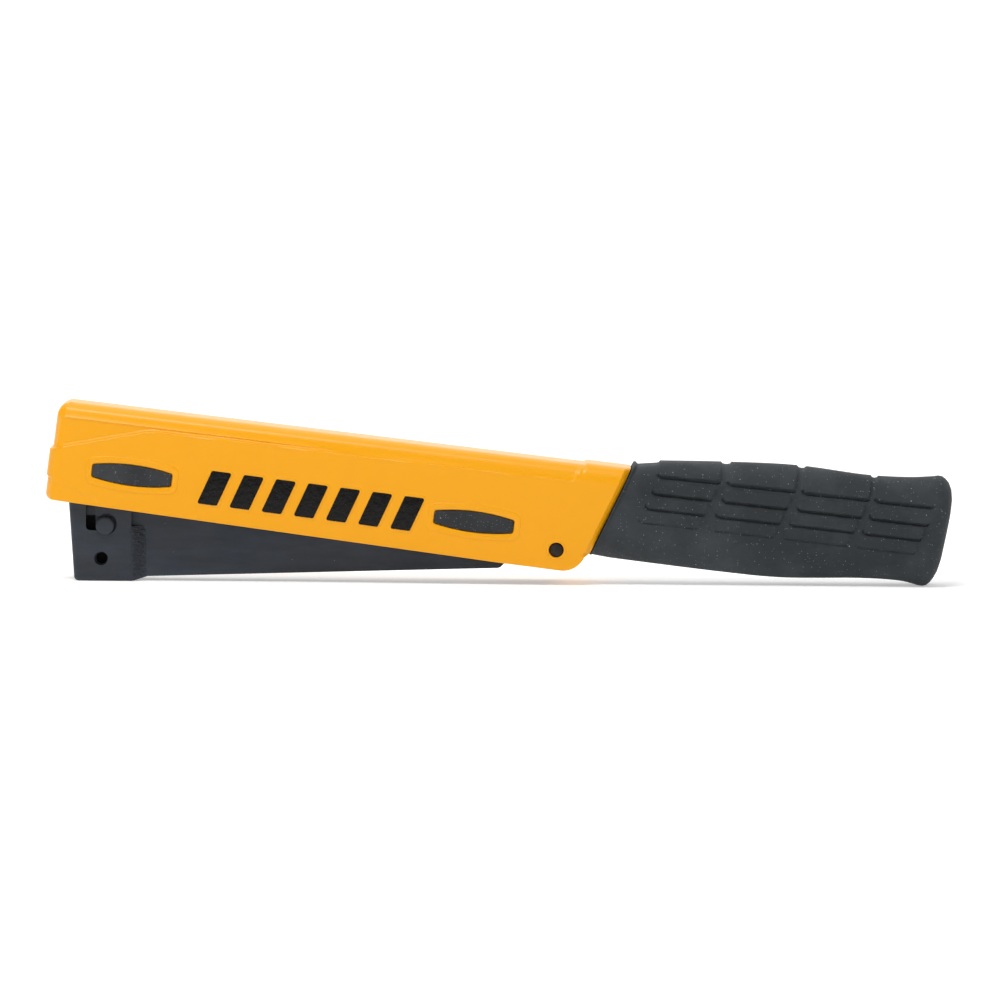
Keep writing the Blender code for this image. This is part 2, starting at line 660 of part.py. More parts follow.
def weld_beads(parent, finish):
    """Two fillets that join the wrap's rear edges to the channel's sides."""
    for side, sign in (("near", -1.0), ("far", 1.0)):
        inner = CHANNEL_HALF + FIT_GAP
        outline = [
            (-161.0 * MM, sign * inner), (-156.6 * MM, sign * inner),
            (-157.4 * MM, sign * (inner + 1.1 * MM)), (-159.6 * MM, sign * (NOSE_HALF - 0.9 * MM)),
            (-161.0 * MM, sign * (NOSE_HALF - 0.3 * MM)),
        ]
        low, high = CHANNEL_LOW_Z + 0.2 * MM, 12.4 * MM
        bead = plan_prism(f"weld_bead_{side}", outline, low, high, parent, finish)
        chamfer(bead, 0.5 * MM, 1, 25.0)


def cross_parts(parent, pin_finish, steel_finish):
    head = 3.5 * MM
    profile = [
        (-12.4 * MM, 2.1 * MM), (-11.7 * MM, head), (-11.3 * MM, head), (-11.29 * MM, NOSE_PIN_SHANK),
        (11.29 * MM, NOSE_PIN_SHANK), (11.3 * MM, head), (11.7 * MM, head), (12.4 * MM, 2.1 * MM),
    ]
    turned("nose_cross_pin", profile, (NOSE_PIN_X, 0.0, NOSE_PIN_Z), (0.0, 1.0, 0.0), parent, pin_finish)
    for name, x, z in RIVET_SPOTS:
        half = CHANNEL_HALF + 0.8 * MM
        under = CHANNEL_HALF + 0.3 * MM
        rivet = [
            (-half, RIVET_RADIUS), (-under - 0.2 * MM, RIVET_HEAD), (-under, RIVET_HEAD),
            (-under + 0.01 * MM, RIVET_RADIUS), (under - 0.01 * MM, RIVET_RADIUS),
            (under, RIVET_HEAD), (under + 0.2 * MM, RIVET_HEAD), (half, RIVET_RADIUS),
        ]
        turned(name, rivet, (x, 0.0, z), (0.0, 1.0, 0.0), parent, steel_finish, 20)


def front_block(parent, finish):
    """The block over the first staples, which carries the nose pin and the front of the guide rod."""
    half = CHANNEL_HALF - CHANNEL_WALL - FIT_GAP
    block = box(
        "front_block", RAIL_FRONT_X, -160.0 * MM, half, STAPLE_CROWN_Z + 0.6 * MM, 17.5 * MM, parent, finish)
    chamfer(block, 0.5 * MM, 1, 80.0)
    bore(block, "block_pin_bore", NOSE_PIN_X, NOSE_PIN_Z, NOSE_PIN_SHANK + FIT_GAP, parent, sides=20)
    cut(block, turned("block_rod_bore", [(0.0, ROD_RADIUS + FIT_GAP), (10.0 * MM, ROD_RADIUS + FIT_GAP)],
                      (-167.4 * MM, 0.0, ROD_Z), (1.0, 0.0, 0.0), parent, sides=16))
    return block


def rail(parent, finish):
    """The inverted channel that the staples straddle."""
    low = CHANNEL_FLOOR_Z + FIT_GAP
    high = STAPLE_CROWN_Z - STAPLE_WIRE - FIT_GAP
    body = box("staple_rail", RAIL_FRONT_X, -50.0 * MM, RAIL_HALF, low, high, parent, finish)
    cut(body, box("rail_hollow", RAIL_FRONT_X - 5.0 * MM, 0.0, RAIL_HALF - RAIL_WALL,
                  low - 5.0 * MM, high - RAIL_WALL, parent))
    return body


def staple_strip(parent, finish):
    """Glued staples: one body with a fine groove between neighbours."""
    outer, inner = STAPLE_HALF, RAIL_HALF + FIT_GAP
    crown, under = STAPLE_CROWN_Z, STAPLE_CROWN_Z - STAPLE_WIRE + 0.05 * MM
    arch = [
        (-outer, STAPLE_LEG_Z), (-inner, STAPLE_LEG_Z), (-inner, under), (inner, under),
        (inner, STAPLE_LEG_Z), (outer, STAPLE_LEG_Z), (outer, crown), (-outer, crown),
    ]
    loops = []
    for index in range(STAPLE_COUNT):
        start = STRIP_FRONT_X + index * STAPLE_PITCH
        for share, inset in ((0.0, 0.12 * MM), (0.15, 0.0), (0.85, 0.0)):
            loops.append([
                (start + share * STAPLE_PITCH,
                 y - math.copysign(inset, y) if abs(y) == outer else y,
                 z - inset if z == crown else z)
                for y, z in arch
            ])
    return extruded("staple_strip", loops, parent, finish)


def pusher(parent, finish, spring_finish):
    """The follower that straddles the rail, with a lug at its rear that slides on the guide rod."""
    start = STRIP_FRONT_X + STAPLE_COUNT * STAPLE_PITCH + FIT_GAP
    end = start + PUSHER_LENGTH
    top = ROD_Z + 3.6 * MM
    saddle = STAPLE_CROWN_Z + 0.3 * MM
    side = rounded([
        (start, STAPLE_LEG_Z + 0.2 * MM, 0.0), (end, STAPLE_LEG_Z + 0.2 * MM, 0.0), (end, top, 0.8 * MM),
        (end - LUG_LENGTH, top, 0.8 * MM), (end - LUG_LENGTH, saddle, 0.0), (start, saddle, 0.0),
    ], 3)
    body = prism("pusher", side, -STAPLE_HALF, STAPLE_HALF, parent, finish)
    cut(body, box("pusher_saddle", start - 5.0 * MM, end + 5.0 * MM, RAIL_HALF + FIT_GAP,
                  STAPLE_LEG_Z - 5.0 * MM, STAPLE_CROWN_Z - STAPLE_WIRE + 0.05 * MM, parent))
    rod_bore = [(-5.0 * MM, ROD_RADIUS + FIT_GAP), (LUG_LENGTH + 5.0 * MM, ROD_RADIUS + FIT_GAP)]
    lug = (end - LUG_LENGTH, 0.0, ROD_Z)
    cut(body, turned("pusher_bore", rod_bore, lug, (1.0, 0.0, 0.0), parent, sides=20))
    spring_start = end + FIT_GAP
    coil("pusher_spring", (spring_start, 0.0, ROD_Z), (1.0, 0.0, 0.0), 2.6 * MM, 0.4 * MM,
         REAR_BLOCK_X - FIT_GAP - spring_start, 15.0, parent, spring_finish, 10)
    return body


def guide_rod(parent, finish):
    start, end = -166.9 * MM, REAR_BLOCK_X + 6.0 * MM
    profile = [
        (0.0, ROD_RADIUS - 0.4 * MM), (0.5 * MM, ROD_RADIUS),
        (end - start - 0.5 * MM, ROD_RADIUS), (end - start, ROD_RADIUS - 0.4 * MM),
    ]
    turned("guide_rod", profile, (start, 0.0, ROD_Z), (1.0, 0.0, 0.0), parent, finish, 16)


def rear_block(parent, finish):
    half = BRACKET_HALF - BRACKET_WALL - FIT_GAP
    end = REAR_BLOCK_X + REAR_BLOCK_LENGTH
    block = box("rear_block", REAR_BLOCK_X, end, half, -3.8 * MM, ROD_Z + 3.5 * MM, parent, finish)
    chamfer(block, 0.5 * MM, 1, 80.0)
    cut(block, turned("rear_rod_bore", [(-1.0 * MM, ROD_RADIUS + FIT_GAP), (6.5 * MM, ROD_RADIUS + FIT_GAP)],
                      (REAR_BLOCK_X, 0.0, ROD_Z), (1.0, 0.0, 0.0), parent, sides=16))
    name, x, z = RIVET_SPOTS[0]
    bore(block, f"block_{name}_bore", x, z, RIVET_RADIUS + FIT_GAP, parent, sides=16)
    return block


def pivot_bracket(parent, finish):
    """The folded tail bracket: a floor inside the channel and two ears up to the pivot pin."""
    floor = CHANNEL_FLOOR_Z + FIT_GAP
    side = rounded([
        (-49.0 * MM, floor, 0.0), (-16.7 * MM, floor, 2.5 * MM), (3.2 * MM, -4.6 * MM, 5.4 * MM),
        (5.6 * MM, 5.6 * MM, 5.6 * MM), (-16.0 * MM, 14.8 * MM, 5.0 * MM), (-33.5 * MM, 14.8 * MM, 4.0 * MM),
        (-36.0 * MM, 7.0 * MM, 3.0 * MM), (-49.0 * MM, 7.0 * MM, 2.0 * MM),
    ], 4)
    body = prism("pivot_bracket", side, -BRACKET_HALF, BRACKET_HALF, parent, finish)
    inner = BRACKET_HALF - BRACKET_WALL
    cut(body, box("bracket_hollow", -60.0 * MM, 20.0 * MM, inner, floor + 1.2 * MM, 40.0 * MM, parent))
    cut(body, box("bracket_throat", -15.0 * MM, 20.0 * MM, inner, -30.0 * MM, 40.0 * MM, parent))
    bore(body, "ear_bore", 0.0, 0.0, BUSH_RADIUS + 0.2 * MM, parent)
    travel = rounded([
        (-30.0 * MM, 4.4 * MM, 2.2 * MM), (-25.4 * MM, 4.4 * MM, 2.2 * MM),
        (-24.5 * MM, 12.4 * MM, 2.2 * MM), (-29.1 * MM, 12.4 * MM, 2.2 * MM),
    ], 4)
    cut(body, prism("stop_slot", travel, -CUTTER_REACH, CUTTER_REACH, parent))
    for name, x, z in RIVET_SPOTS:
        bore(body, f"ear_{name}_bore", x, z, RIVET_RADIUS + FIT_GAP, parent, sides=16)
    return body


def pivot_bushes(parent, finish):
    """Flanged bushes that carry the ears on the pivot pin and keep them in the middle of the housing."""
    for side, sign in (("near", -1.0), ("far", 1.0)):
        profile = [
            (4.2 * MM, BUSH_RADIUS), (BRACKET_HALF + FIT_GAP, BUSH_RADIUS),
            (BRACKET_HALF + FIT_GAP + 0.01 * MM, 5.2 * MM), (11.8 * MM, 5.2 * MM),
        ]
        bush = turned(f"pivot_bush_{side}", profile, (0.0, 0.0, 0.0), (0.0, sign, 0.0), parent, finish, 24)
        bore(bush, f"bush_bore_{side}", 0.0, 0.0, PIVOT_RADIUS + FIT_GAP, parent)


def spring_seat(parent, finish):
    """The bridge over the channel that the return spring stands on."""
    low = CHANNEL_MID_Z + 0.9 * MM
    plate = box("spring_seat", SPRING_X - 9.0 * MM, SPRING_X + 9.0 * MM, CHANNEL_HALF + 1.0 * MM,
                low, low + 1.3 * MM, parent, finish)
    chamfer(plate, 0.4 * MM, 1, 80.0)
    for side, sign in (("near", -1.0), ("far", 1.0)):
        wing = sorted((sign * (CHANNEL_HALF + FIT_GAP), sign * (CHANNEL_HALF + 1.3 * MM)))
        outline = slot_outline(SPRING_X - 7.0 * MM, SPRING_X + 7.0 * MM, low - 5.0 * MM, low + 0.9 * MM)
        join(plate, prism(f"seat_wing_{side}", outline, *wing, parent))
    return plate


# Assembly -------------------------------------------------------------------------------------------

def build():
    clear_scene()
    pivot = (PIVOT_X, 0.0, PIVOT_Z)
    handle = frame("handle_frame", pivot, HANDLE_FALL)
    magazine = frame("magazine_frame", pivot, -MAGAZINE_RISE)
    level = frame("nose_frame", pivot, 0.0)

    yellow = material("yellow_powder_coat", (0.93, 0.40, 0.025), 0.32)
    rubber = material("charcoal_rubber", (0.045, 0.05, 0.055), 0.75)
    pad_rubber = material("pad_rubber", (0.04, 0.042, 0.046), 0.8)
    blued = material("blued_steel", (0.055, 0.065, 0.08), 0.4, 0.8)
    weld = material("weld_metal", (0.07, 0.075, 0.085), 0.55, 0.8)
    bright = material("bright_steel", (0.6, 0.6, 0.6), 0.3, 1.0)
    dark_pin = material("blackened_pin", (0.03, 0.025, 0.02), 0.5, 0.6)
    spring_steel = material("spring_steel", (0.35, 0.35, 0.36), 0.35, 1.0)
    bronze = material("bush_bronze", (0.45, 0.28, 0.12), 0.4, 1.0)
    buffer = material("buffer_rubber", (0.02, 0.02, 0.02), 0.85)
    staple_wire = material("staple_wire", (0.72, 0.72, 0.74), 0.28, 1.0)

    housing(handle, yellow)
    grip(handle, rubber)
    side_pads(handle, pad_rubber)
    driver(handle, bright, blued)
    handle_pins(handle, dark_pin, spring_steel)
    bumper(handle, buffer)
    return_spring(handle, spring_steel)

    channel(magazine, level, blued)
    nose_wrap(level, blued)
    weld_beads(magazine, weld)
    cross_parts(magazine, blued, blued)
    front_block(magazine, blued)
    rail(magazine, bright)
    staple_strip(magazine, staple_wire)
    pusher(magazine, bright, spring_steel)
    guide_rod(magazine, bright)
    rear_block(magazine, blued)
    pivot_bracket(magazine, blued)
    pivot_bushes(magazine, bronze)
    spring_seat(magazine, blued)


build()
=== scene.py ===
"""The looks of a hammer tacker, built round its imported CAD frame: a fine powder-coated casting with its
raised panels and bars, a moulded rubber grip, rubber inlays, and blued steel for the magazine."""

import json
import math

import bmesh
import bpy
import numpy as np
from mathutils import Matrix, Vector, noise


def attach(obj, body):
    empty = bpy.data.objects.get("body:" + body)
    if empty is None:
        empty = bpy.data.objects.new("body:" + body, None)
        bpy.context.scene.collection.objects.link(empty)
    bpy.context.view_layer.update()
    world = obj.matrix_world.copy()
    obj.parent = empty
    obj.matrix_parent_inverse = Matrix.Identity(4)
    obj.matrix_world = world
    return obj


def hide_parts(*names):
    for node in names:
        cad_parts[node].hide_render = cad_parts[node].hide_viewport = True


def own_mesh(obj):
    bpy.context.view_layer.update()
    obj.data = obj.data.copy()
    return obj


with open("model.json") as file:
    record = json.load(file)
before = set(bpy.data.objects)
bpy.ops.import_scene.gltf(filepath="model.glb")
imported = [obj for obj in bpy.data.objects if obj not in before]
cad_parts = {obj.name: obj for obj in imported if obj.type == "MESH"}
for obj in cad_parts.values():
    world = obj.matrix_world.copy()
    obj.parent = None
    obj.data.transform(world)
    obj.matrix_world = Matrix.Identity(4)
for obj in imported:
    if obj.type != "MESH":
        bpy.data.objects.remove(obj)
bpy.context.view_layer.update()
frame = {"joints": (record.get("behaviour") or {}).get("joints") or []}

MM = 0.001
SWING = next(joint for joint in frame["joints"] if joint["name"] == "magazine_swing")
SLIDE = next(joint for joint in frame["joints"] if joint["name"] == "pusher_slide")
PIVOT = Vector(SWING["pos_m"])
HANDLE_FALL = 7.0
MAGAZINE_RISE = math.degrees(math.atan2(SLIDE["axis"][2], SLIDE["axis"][0]))
HANDLE = Matrix.Translation(PIVOT) @ Matrix.Rotation(math.radians(HANDLE_FALL), 4, "Y")
MAGAZINE = Matrix.Translation(PIVOT) @ Matrix.Rotation(math.radians(-MAGAZINE_RISE), 4, "Y")
LEVEL = Matrix.Translation(PIVOT)


# Mesh helpers ---------------------------------------------------------------------------------------

def add_mesh(name, points, faces, place=HANDLE, smooth_angle=40.0):
    """A mesh from points in one of the three frames, with its normals facing out."""
    mesh = bpy.data.meshes.new(name)
    mesh.from_pydata([tuple(point) for point in points], [], faces)
    shape = bmesh.new()
    shape.from_mesh(mesh)
    bmesh.ops.remove_doubles(shape, verts=shape.verts, dist=1e-7)
    bmesh.ops.recalc_face_normals(shape, faces=shape.faces)
    shape.to_mesh(mesh)
    shape.free()
    mesh.transform(place)
    mesh.shade_smooth()
    mesh.set_sharp_from_angle(angle=math.radians(smooth_angle))
    item = bpy.data.objects.new(name, mesh)
    bpy.context.scene.collection.objects.link(item)
    return item


def tube_faces(ring_count, ring_length):
    """Quads between closed rings, each ring's points following the last's."""
    faces = []
    for ring in range(ring_count - 1):
        for index in range(ring_length):
            following = (index + 1) % ring_length
            low = ring * ring_length
            high = low + ring_length
            faces.append((low + index, low + following, high + following, high + index))
    return faces


def rounded(corners, steps=8):
    """An outline from (x, z, radius) corners, with each radius as an arc between its tangent points."""
    points = []
    for index, (x, z, radius) in enumerate(corners):
        corner = Vector((x, z))
        if radius <= 0.0:
            points.append((x, z))
            continue
        before = (Vector(corners[index - 1][:2]) - corner).normalized()
        after = (Vector(corners[(index + 1) % len(corners)][:2]) - corner).normalized()
        half = before.angle(after) / 2.0
        centre = corner + (before + after).normalized() * radius / math.sin(half)
        start = corner + before * radius / math.tan(half) - centre
        end = corner + after * radius / math.tan(half) - centre
        sweep = -start.angle_signed(end)
        for step in range(steps + 1):
            turn = sweep * step / steps
            points.append((
                centre.x + start.x * math.cos(turn) - start.y * math.sin(turn),
                centre.y + start.x * math.sin(turn) + start.y * math.cos(turn),
            ))
    return points


def polygon_distance(x, z, outline):
    """Distance from points to an outline, negative inside it."""
    nearest = np.full(x.shape, 1e9)
    inside = np.zeros(x.shape, bool)
    for (ax, az), (bx, bz) in zip(outline, outline[1:] + outline[:1]):
        ex, ez = bx - ax, bz - az
        along = np.clip(((x - ax) * ex + (z - az) * ez) / max(ex * ex + ez * ez, 1e-18), 0.0, 1.0)
        nearest = np.minimum(nearest, np.hypot(x - ax - along * ex, z - az - along * ez))
        crosses = (az > z) != (bz > z)
        at = ax + (z - az) * ex / (ez if abs(ez) > 1e-12 else 1e-12)
        inside ^= crosses & (x < at)
    return np.where(inside, -nearest, nearest)


def step_up(distance, width):
    """1 inside an outline, 0 outside it, with a soft edge of the given width centred on it."""
    share = np.clip(0.5 - distance / width, 0.0, 1.0)
    return share * share * (3.0 - 2.0 * share)


# Housing --------------------------------------------------------------------------------------------

HALF = 15.3 * MM
CAVITY_HALF = 13.0 * MM
PANEL_PROUD = 0.7 * MM
BAND_EXTRA = 0.5 * MM
FRONT_X = -194.3 * MM
CAVITY_FRONT_X = -190.8 * MM
CAVITY_REAR_X = 7.5 * MM
ROOF_WALL = 3.3 * MM
ROOF_FRONT_Z = 31.65 * MM
ROOF_SLOPE = 0.0083
BELLY_FRONT_Z = -5.9 * MM
BELLY_REAR_Z = -7.6 * MM
SEAM_FOOT_X = 8.65 * MM
SEAM_LEAN = 0.34
BEVEL_WIDTH = 1.9 * MM
LOBE_RADIUS = 9.0 * MM
LOBE_CENTRE = (2.2 * MM, 1.4 * MM)
ROOF_RADIUS = 5.2 * MM
CORNER_RADIUS = 4.0 * MM
COLLAR_X = 6.5 * MM
LINE_WIDTH = 0.75 * MM
LINE_HEIGHT = 0.48 * MM
EDGE = 0.55 * MM
SHOULDER_PROUD = 0.22 * MM
SHOULDER_DROP = 5.2 * MM
SHOULDER_BACK = 1.7 * MM
POCKET_DEPTH = 2.1 * MM
POCKET_EDGE = 0.45 * MM
PIVOT_POCKET_DEPTH = 2.2 * MM
PIVOT_POCKET_RADIUS = 3.3 * MM
BEVEL_DEPTH = 2.5 * MM
SEAM_LOW_Z = -1.5 * MM
SEAM_BLEND = 2.0 * MM
HOUSING_END_X = 22.0 * MM

PAD_SPOTS = (("front", -163.3 * MM, 7.3 * MM), ("rear", -32.4 * MM, 6.6 * MM))
PAD_HALF = (15.35 * MM, 4.1 * MM, 2.5 * MM)

BAR_COUNT = 7
BAR_FIRST_X = -137.5 * MM
BAR_PITCH = 12.3 * MM
BAR_WIDTH = 7.6 * MM
BAR_SLANT = 0.32
BAR_LOW_Z = 0.0 * MM
BAR_HIGH_Z = 13.0 * MM


def roof_z(x):
    return ROOF_FRONT_Z + (x - FRONT_X) * ROOF_SLOPE


def belly_z(x):
    share = np.clip((x - FRONT_X) / (0.9 * -FRONT_X), 0.0, 1.0)
    return BELLY_FRONT_Z + (BELLY_REAR_Z - BELLY_FRONT_Z) * share


def rear_x(z):
    """The housing's rear outline: the slanted seam, and the round lobe under it."""
    flare = (BEVEL_WIDTH - 0.5 * MM) * np.clip((z - SEAM_LOW_Z) / SEAM_BLEND, 0.0, 1.0)
    seam = SEAM_FOOT_X + flare + (z - BELLY_REAR_Z) * SEAM_LEAN
    drop = np.clip(np.abs(z - LOBE_CENTRE[1]), 0.0, LOBE_RADIUS)
    lobe = LOBE_CENTRE[0] + np.sqrt(LOBE_RADIUS ** 2 - drop ** 2)
    return np.where(z < SEAM_LOW_Z, lobe, seam)


def pad_outline(x, z, margin=0.0, steps=20):
    """A barrel: two shallow arcs over the length, cut by flat ends with small round corners."""
    half, mid, end = (value + margin for value in PAD_HALF)
    radius = max(1.0 * MM + margin, 0.25 * MM)
    shares = [2.0 * step / steps - 1.0 for step in range(2, steps - 1)]
    top = [(x + half * share, z + mid - (mid - end) * share * share, 0.0) for share in shares]
    top = [(x - half, z + end, radius)] + top + [(x + half, z + end, radius)]
    bottom = [(px, 2.0 * z - pz, size) for px, pz, size in reversed(top)]
    return rounded(top + bottom, 5)


def bar_outline(index, margin=0.0):
    x = BAR_FIRST_X + index * BAR_PITCH
    shift = (BAR_HIGH_Z - BAR_LOW_Z) * BAR_SLANT
    low, high = BAR_LOW_Z - margin, BAR_HIGH_Z + margin
    lean = margin * BAR_SLANT
    radius = 0.7 * MM + margin
    return rounded([
        (x - margin - lean, low, radius), (x + BAR_WIDTH + margin - lean, low, radius),
        (x + BAR_WIDTH + shift + margin + lean, high, radius), (x + shift - margin + lean, high, radius),
    ], 5)


PANEL_OUTLINE = rounded([
    (FRONT_X - 9.0 * MM, 13.4 * MM, 0.0), (FRONT_X, 13.5 * MM, 0.0),
    (-158.5 * MM, 24.6 * MM, 26.0 * MM),
    (3.4 * MM, 26.8 * MM, 1.6 * MM),
    (COLLAR_X + 0.3 * MM, 34.6 * MM, 0.0), (COLLAR_X + 0.6 * MM, 60.0 * MM, 0.0),
    (60.0 * MM, 60.0 * MM, 0.0), (60.0 * MM, -30.0 * MM, 0.0), (FRONT_X - 9.0 * MM, -30.0 * MM, 0.0),
])
SHOULDER_OUTLINE = rounded([
    (FRONT_X + SHOULDER_BACK, -30.0 * MM, 0.0),
    (FRONT_X + SHOULDER_BACK, ROOF_FRONT_Z - SHOULDER_DROP, 1.6 * MM),
    (60.0 * MM, ROOF_FRONT_Z + 2.1 * MM - SHOULDER_DROP, 0.0), (60.0 * MM, -30.0 * MM, 0.0),
])
CHIN_OUTLINE = rounded([
    (FRONT_X - 9.0 * MM, 3.2 * MM, 0.0), (FRONT_X, 3.0 * MM, 0.0), (-187.6 * MM, -0.1 * MM, 8.0 * MM),
    (-175.8 * MM, -3.2 * MM, 2.5 * MM), (-172.6 * MM, -9.5 * MM, 0.0), (FRONT_X - 9.0 * MM, -12.0 * MM, 0.0),
])


def bead(distance, width, height):
    """A small rounded ridge along an outline."""
    return height * np.maximum(1.0 - (distance / width) ** 2, 0.0)


def housing_relief(x, z, front_share):
    """How far the skin stands out of the core: panel, band, edge lines, pockets and the seam's bevel."""
    panel_edge = polygon_distance(x, z, PANEL_OUTLINE)
    shoulder_edge = polygon_distance(x, z, SHOULDER_OUTLINE)
    panel = step_up(panel_edge, EDGE)
    chin = step_up(polygon_distance(x, z, CHIN_OUTLINE), EDGE)
    height = (PANEL_PROUD + BAND_EXTRA * front_share) * panel - (0.25 + 0.35 * front_share) * MM * chin
    height += SHOULDER_PROUD * step_up(shoulder_edge, EDGE)
    lines = np.maximum(
        bead(panel_edge - 0.4 * MM, LINE_WIDTH, LINE_HEIGHT), bead(shoulder_edge, LINE_WIDTH, LINE_HEIGHT))
    height += lines * (1.0 - 0.6 * front_share)
    side = 1.0 - front_share
    for _, pad_x, pad_z in PAD_SPOTS:
        distance = polygon_distance(x, z, pad_outline(pad_x, pad_z))
        height -= POCKET_DEPTH * step_up(distance - 1.2 * MM, POCKET_EDGE) * side
    height -= PIVOT_POCKET_DEPTH * step_up(np.hypot(x, z) - PIVOT_POCKET_RADIUS, POCKET_EDGE)
    seam = (rear_x(z) - x) / math.hypot(1.0, SEAM_LEAN)
    strip = np.clip(1.0 - seam / BEVEL_WIDTH, 0.0, 1.0) * np.clip((z - SEAM_LOW_Z) / SEAM_BLEND, 0.0, 1.0)
    return height - BEVEL_DEPTH * strip


def side_stations():
    """Distances along a side, closer together where there is fine relief."""
    fine, coarse = 0.42 * MM, 0.7 * MM
    stations = [FRONT_X]
    while stations[-1] < HOUSING_END_X:
        x = stations[-1]
        front = x < -150.0 * MM
        rear = x > -12.0 * MM
        stations.append(x + (fine if front or rear else coarse))
    return np.array(stations)


def housing_levels():
    """Heights from 0 at the belly to 1 at the roof, close together for the relief and the roof's round."""
    rise, fine, round_start, round_steps = 39.5, 0.32, 33.95, 8
    heights = [0.0, 0.08, 0.25, 0.5, 0.8]
    while heights[-1] < round_start - 0.35:
        heights.append(heights[-1] + fine)
    for step in range(1, round_steps + 1):
        heights.append(round_start + (rise - round_start) * math.sin(math.pi / 2.0 * step / round_steps))
    return np.array(heights) / rise


def housing_mesh():
    along = side_stations()
    corner_steps = 8
    front_steps = 26
    flat = HALF - CORNER_RADIUS
    side_x = along[along > FRONT_X + CORNER_RADIUS]
    turns = [math.pi / 2.0 * step / corner_steps for step in range(corner_steps + 1)]
    arc_x = [FRONT_X + CORNER_RADIUS * (1.0 - math.cos(turn)) for turn in turns]
    arc_y = [-flat - CORNER_RADIUS * math.sin(turn) for turn in turns]
    front_y = np.linspace(-flat, flat, front_steps + 1)[1:-1]
    plan_x = np.concatenate([side_x[::-1], arc_x[::-1], np.full(len(front_y), FRONT_X), arc_x, side_x])
    plan_y = np.concatenate([
        np.full(len(side_x), -HALF), arc_y[::-1], front_y,
        [-value for value in arc_y], np.full(len(side_x), HALF)])
    normal_x = np.concatenate([
        np.zeros(len(side_x)), [-math.cos(turn) for turn in turns[::-1]], np.full(len(front_y), -1.0),
        [-math.cos(turn) for turn in turns], np.zeros(len(side_x))])
    normal_y = np.concatenate([
        np.full(len(side_x), -1.0), [-math.sin(turn) for turn in turns[::-1]], np.zeros(len(front_y)),
        [math.sin(turn) for turn in turns], np.full(len(side_x), 1.0)])
    levels = housing_levels()
    x = np.tile(plan_x, (len(levels), 1))
    y = np.tile(plan_y, (len(levels), 1))
    low, high = belly_z(x), roof_z(x)
    z = low + (high - low) * levels[:, None]
    reach = np.clip((x + 34.0 * MM) / (56.0 * MM), 0.0, 1.0)
    x = x + (rear_x(z) - HOUSING_END_X) * reach * reach * (3.0 - 2.0 * reach)
    front_share = normal_x ** 2 * np.ones_like(x)
    relief = housing_relief(x, z, front_share)
    depth = np.clip(ROOF_RADIUS - (high - z), 0.0, ROOF_RADIUS)
    inset = ROOF_RADIUS - np.sqrt(np.maximum(ROOF_RADIUS ** 2 - depth ** 2, 0.0))
    crown = 0.25 * MM * (1.0 - (y / HALF) ** 2) * front_share
    out = relief - inset + crown
    upper = np.clip(1.0 - (high - z) / ROOF_RADIUS, 0.0, 1.0)
    lip = 0.35 * MM * np.clip(1.0 - (z - low) / (0.5 * MM), 0.0, 1.0) ** 2
    chin_round = 1.3 * MM * np.clip(1.0 - (z - low) / (2.4 * MM), 0.0, 1.0) ** 2 * front_share
    out = out - lip - chin_round
    collar = step_up(COLLAR_X + 0.4 * MM - x, EDGE) * np.where(front_share > 0.0, 0.0, 1.0)
    z = z + PANEL_PROUD * upper * collar
    x = x + normal_x * out
    y = y + normal_y * out
    points = np.stack([x, y, z], axis=-1)
    length = points.shape[1]
    rear_fade = np.clip((plan_x - CAVITY_REAR_X) / (14.5 * MM), 0.0, 1.0)
    inner_y = np.clip(plan_y, -CAVITY_HALF, CAVITY_HALF) * (1.0 - 0.98 * rear_fade)
    inner = []
    for share, rear in ((0.0, LOBE_CENTRE[0]), (0.12, CAVITY_REAR_X), (1.0, CAVITY_REAR_X)):
        inner_x = np.clip(plan_x, CAVITY_FRONT_X, rear)
        roof = roof_z(inner_x) - ROOF_WALL
        floor = belly_z(inner_x)
        inner.append(np.stack([inner_x, inner_y, floor + (roof - floor) * share], axis=-1))
    rings = inner[::-1] + list(points)
    faces = []
    for ring in range(len(rings) - 1):
        low_start, high_start = ring * length, (ring + 1) * length
        for index in range(length - 1):
            following = index + 1
            faces.append((
                low_start + index, low_start + following, high_start + following, high_start + index))
    for start in (0, (len(rings) - 1) * length):
        for index in range(length // 2):
            mirror = length - 1 - index
            if mirror - index > 2:
                faces.append((start + index, start + index + 1, start + mirror - 1, start + mirror))
    last = length - 1
    for ring in range(len(rings) - 1):
        low_start, high_start = ring * length, (ring + 1) * length
        faces.append((low_start, high_start, high_start + last, low_start + last))
    return add_mesh("housing_skin", np.concatenate(rings), faces, smooth_angle=32.0)


def slab_stack(outlines, sign, base_y):
    """Points and faces of one closed slab whose outline changes from layer to layer."""
    points = [(x, sign * (base_y + height), z) for ring, height in outlines for x, z in ring]
    count = len(outlines[0][0])
    faces = tube_faces(len(outlines), count)
    faces += [tuple(range(count)), tuple(range(len(points) - count, len(points)))]
    return points, faces


def bars_mesh(name, layers, sign, base_y):
    """The same stack of layers at every raised bar, as one mesh."""
    points, faces = [], []
    for index in range(BAR_COUNT):
        outlines = [(bar_outline(index, margin * MM), height * MM) for margin, height in layers]
        bar_points, bar_faces = slab_stack(outlines, sign, base_y)
        faces += [tuple(len(points) + corner for corner in face) for face in bar_faces]
        points += bar_points
    return add_mesh(name, points, faces, smooth_angle=30.0)


def pad_mesh(name, x, z, sign):
    """A rubber inlay with a rolled edge, seated in its pocket."""
    layers = ((-0.32, -1.0), (-0.32, 0.1), (-0.4, 0.22), (-0.55, 0.3), (-0.85, 0.34), (-1.5, 0.36))
    outlines = [(pad_outline(x, z, margin * MM), height * MM) for margin, height in layers]
    points, faces = slab_stack(outlines, sign, HALF + PANEL_PROUD)
    return add_mesh(name, points, faces, smooth_angle=30.0)


